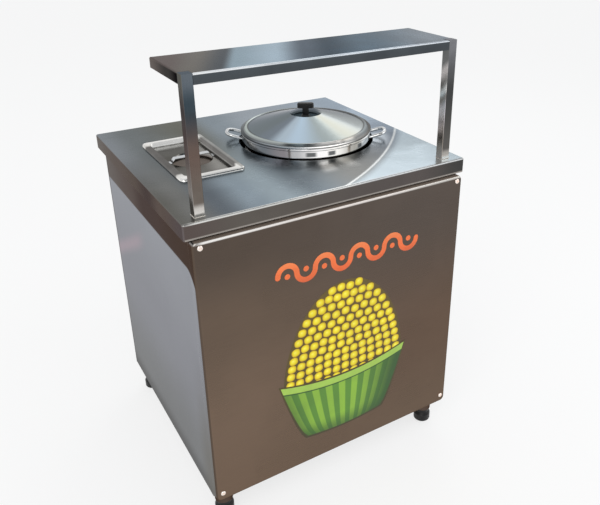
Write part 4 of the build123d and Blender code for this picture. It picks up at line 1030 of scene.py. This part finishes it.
# printed wave: half rings turned up and down in a row, with round ends and dots
waveSet = {
    "start": -0.183, "level": 0.718, "radius": 0.0262, "width": 0.0150, "halves": 8, "steps": 14,
    "dot": 0.0078, "dotShift": 0.004, "sides": 16, "film": 0.0003, "endLift": 0.0001,
    "ink": [(0.0, tone(214, 84, 36)), (0.5, tone(238, 112, 54)), (1.0, tone(248, 146, 84))],
    "inkSpan": (0.665, 0.775),
}


def makeWave(s):
    mesh = bmesh.new()
    y, level, sides = panelFace - s["film"], s["level"], s["sides"]
    for i in range(s["halves"]):
        x = s["start"] + (2 * i + 1) * s["radius"]
        ends = [mesh.verts.new((x - s["radius"] + d * s["width"] / 2, y, level)) for d in (-1, 1)]
        edge = mesh.edges.new(ends)
        way = 1 if i % 2 == 0 else -1
        bmesh.ops.spin(mesh, geom=ends + [edge], cent=(x, y, level), axis=(0, 1, 0), angle=way * math.pi,
                       steps=s["steps"])
        addDisc(mesh, (x, y, level - way * s["dotShift"]), s["dot"], sides)
    for x in (s["start"], s["start"] + 2 * s["halves"] * s["radius"]):
        addDisc(mesh, (x, y - s["endLift"], level), s["width"] / 2, sides)
    faceOut(mesh, -1)
    newPiece("print_wave", mesh, makeInk("waveInk", s["ink"], s["inkSpan"]), "cabinet")


print("printed", makeKernels(heapSet), "kernels")
makeHeapBack(heapSet)
makeBowl(bowlSet)
makeWave(waveSet)
print("front print done")

# weld beads: rows of small overlapping blobs where the posts meet the worktop
weldSet = {
    "blob": 0.0022, "pitch": 0.0030, "flat": 0.7, "ripple": 0.12, "phase": (2.7, 90), "cut": 0.0001,
    "edge": (0.8, 0.8, 0.8, 1), "stretch": (90, 90, 90), "grainTint": 0.12, "markSize": 60.0,
    "markTint": 0.2, "rough": (0.3, 0.5), "bump": 0.1,
    "colour": tone(214, 211, 205), "shade": tone(172, 167, 160),
}


def makeWelds(s):
    material = makePolish("weldSteel", s)
    byBlob, byPlace = s["phase"]
    for side in ("left", "right"):
        low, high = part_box(side + "_shelf_post")
        mesh = bmesh.new()
        corners = [(low[0], low[1]), (high[0], low[1]), (high[0], high[1]), (low[0], high[1])]
        for first, second in zip(corners, corners[1:] + corners[:1]):
            start, end = Vector((*first, low[2])), Vector((*second, low[2]))
            number = int((end - start).length / s["pitch"])
            for i in range(number):
                tall = s["flat"] + s["ripple"] * math.sin(byBlob * i + first[0] * byPlace)
                shape = Matrix.LocRotScale(start.lerp(end, (i + 0.5) / number), None, Vector((1, 1, tall)))
                bmesh.ops.create_icosphere(mesh, subdivisions=1, radius=s["blob"], matrix=shape)
        cutBack(mesh, (0, 0, low[2] + s["cut"]), (0, 0, 1))
        newPiece(side + "_post_weld", mesh, material, "cabinet")


makeWelds(weldSet)

# hinge screws: low domes on both leaves of each hinge
hingeScrewSet = {
    "radius": 0.0036, "dome": 0.0012, "quarters": (0.25, 0.75), "height": 0.060, "leaf": 0.002,
    "inset": 0.0100, "around": 16, "rings": 8,
}


def makeHingeScrews(s):
    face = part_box("door")[1][1] + s["leaf"]
    for leaf, body in (("hinge_cabinet_leaves", "cabinet"), ("hinge_door_leaves", "door")):
        low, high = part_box(leaf)
        x = high[0] - s["inset"] if body == "cabinet" else low[0] + s["inset"]
        mesh = bmesh.new()
        for start in (low[2], high[2] - s["height"]):
            for q in s["quarters"]:
                place = Vector((x, face, start + q * s["height"]))
                shape = Matrix.LocRotScale(place, None, Vector((1, s["dome"] / s["radius"], 1)))
                bmesh.ops.create_uvsphere(mesh, u_segments=s["around"], v_segments=s["rings"],
                                          radius=s["radius"], matrix=shape)
        cutBack(mesh, (0, face, 0), (0, 1, 0))
        newPiece(leaf + "_screws", mesh, polishedSteel, body)


makeHingeScrews(hingeScrewSet)

# gas knob: a pale pointer on the grip and a row of growing dots on the fascia
dialSet = {
    "radius": 0.033, "dots": 8, "small": 0.0010, "large": 0.0026, "sides": 16, "film": 0.0003,
    "turn": 210.0, "dotInk": [(0.0, tone(40, 40, 42)), (1.0, tone(58, 58, 60))],
    "pointer": (0.0022, 0.0004, 0.0120), "inset": 0.0030,
    "pointerInk": [(0.0, tone(222, 220, 214)), (1.0, tone(236, 234, 228))], "inkSpan": (0.6, 0.75),
}


def makeDial(s):
    low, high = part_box("valve_knob")
    cx, cz = (low[0] + high[0]) / 2, (low[2] + high[2]) / 2
    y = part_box("back_fascia")[1][1] + s["film"]
    mesh = bmesh.new()
    for i in range(s["dots"]):
        share = i / (s["dots"] - 1)
        angle = math.radians(90 - share * s["turn"])
        place = (cx + s["radius"] * math.cos(angle), y, cz + s["radius"] * math.sin(angle))
        addDisc(mesh, place, s["small"] + share * (s["large"] - s["small"]), s["sides"])
    faceOut(mesh, 1)
    ink = makeInk("dialInk", s["dotInk"], s["inkSpan"])
    newPiece("dial_dots", mesh, ink, "cabinet")
    mesh = bmesh.new()
    place = Vector((cx, high[1], high[2] - s["inset"] - s["pointer"][2] / 2))
    bmesh.ops.create_cube(mesh, size=1.0, matrix=Matrix.LocRotScale(place, None, Vector(s["pointer"])))
    ink = makeInk("pointerInk", s["pointerInk"], s["inkSpan"])
    newPiece("knob_pointer", mesh, ink, "valve_knob")


makeDial(dialSet)
print("welds, hinge screws and dial done")
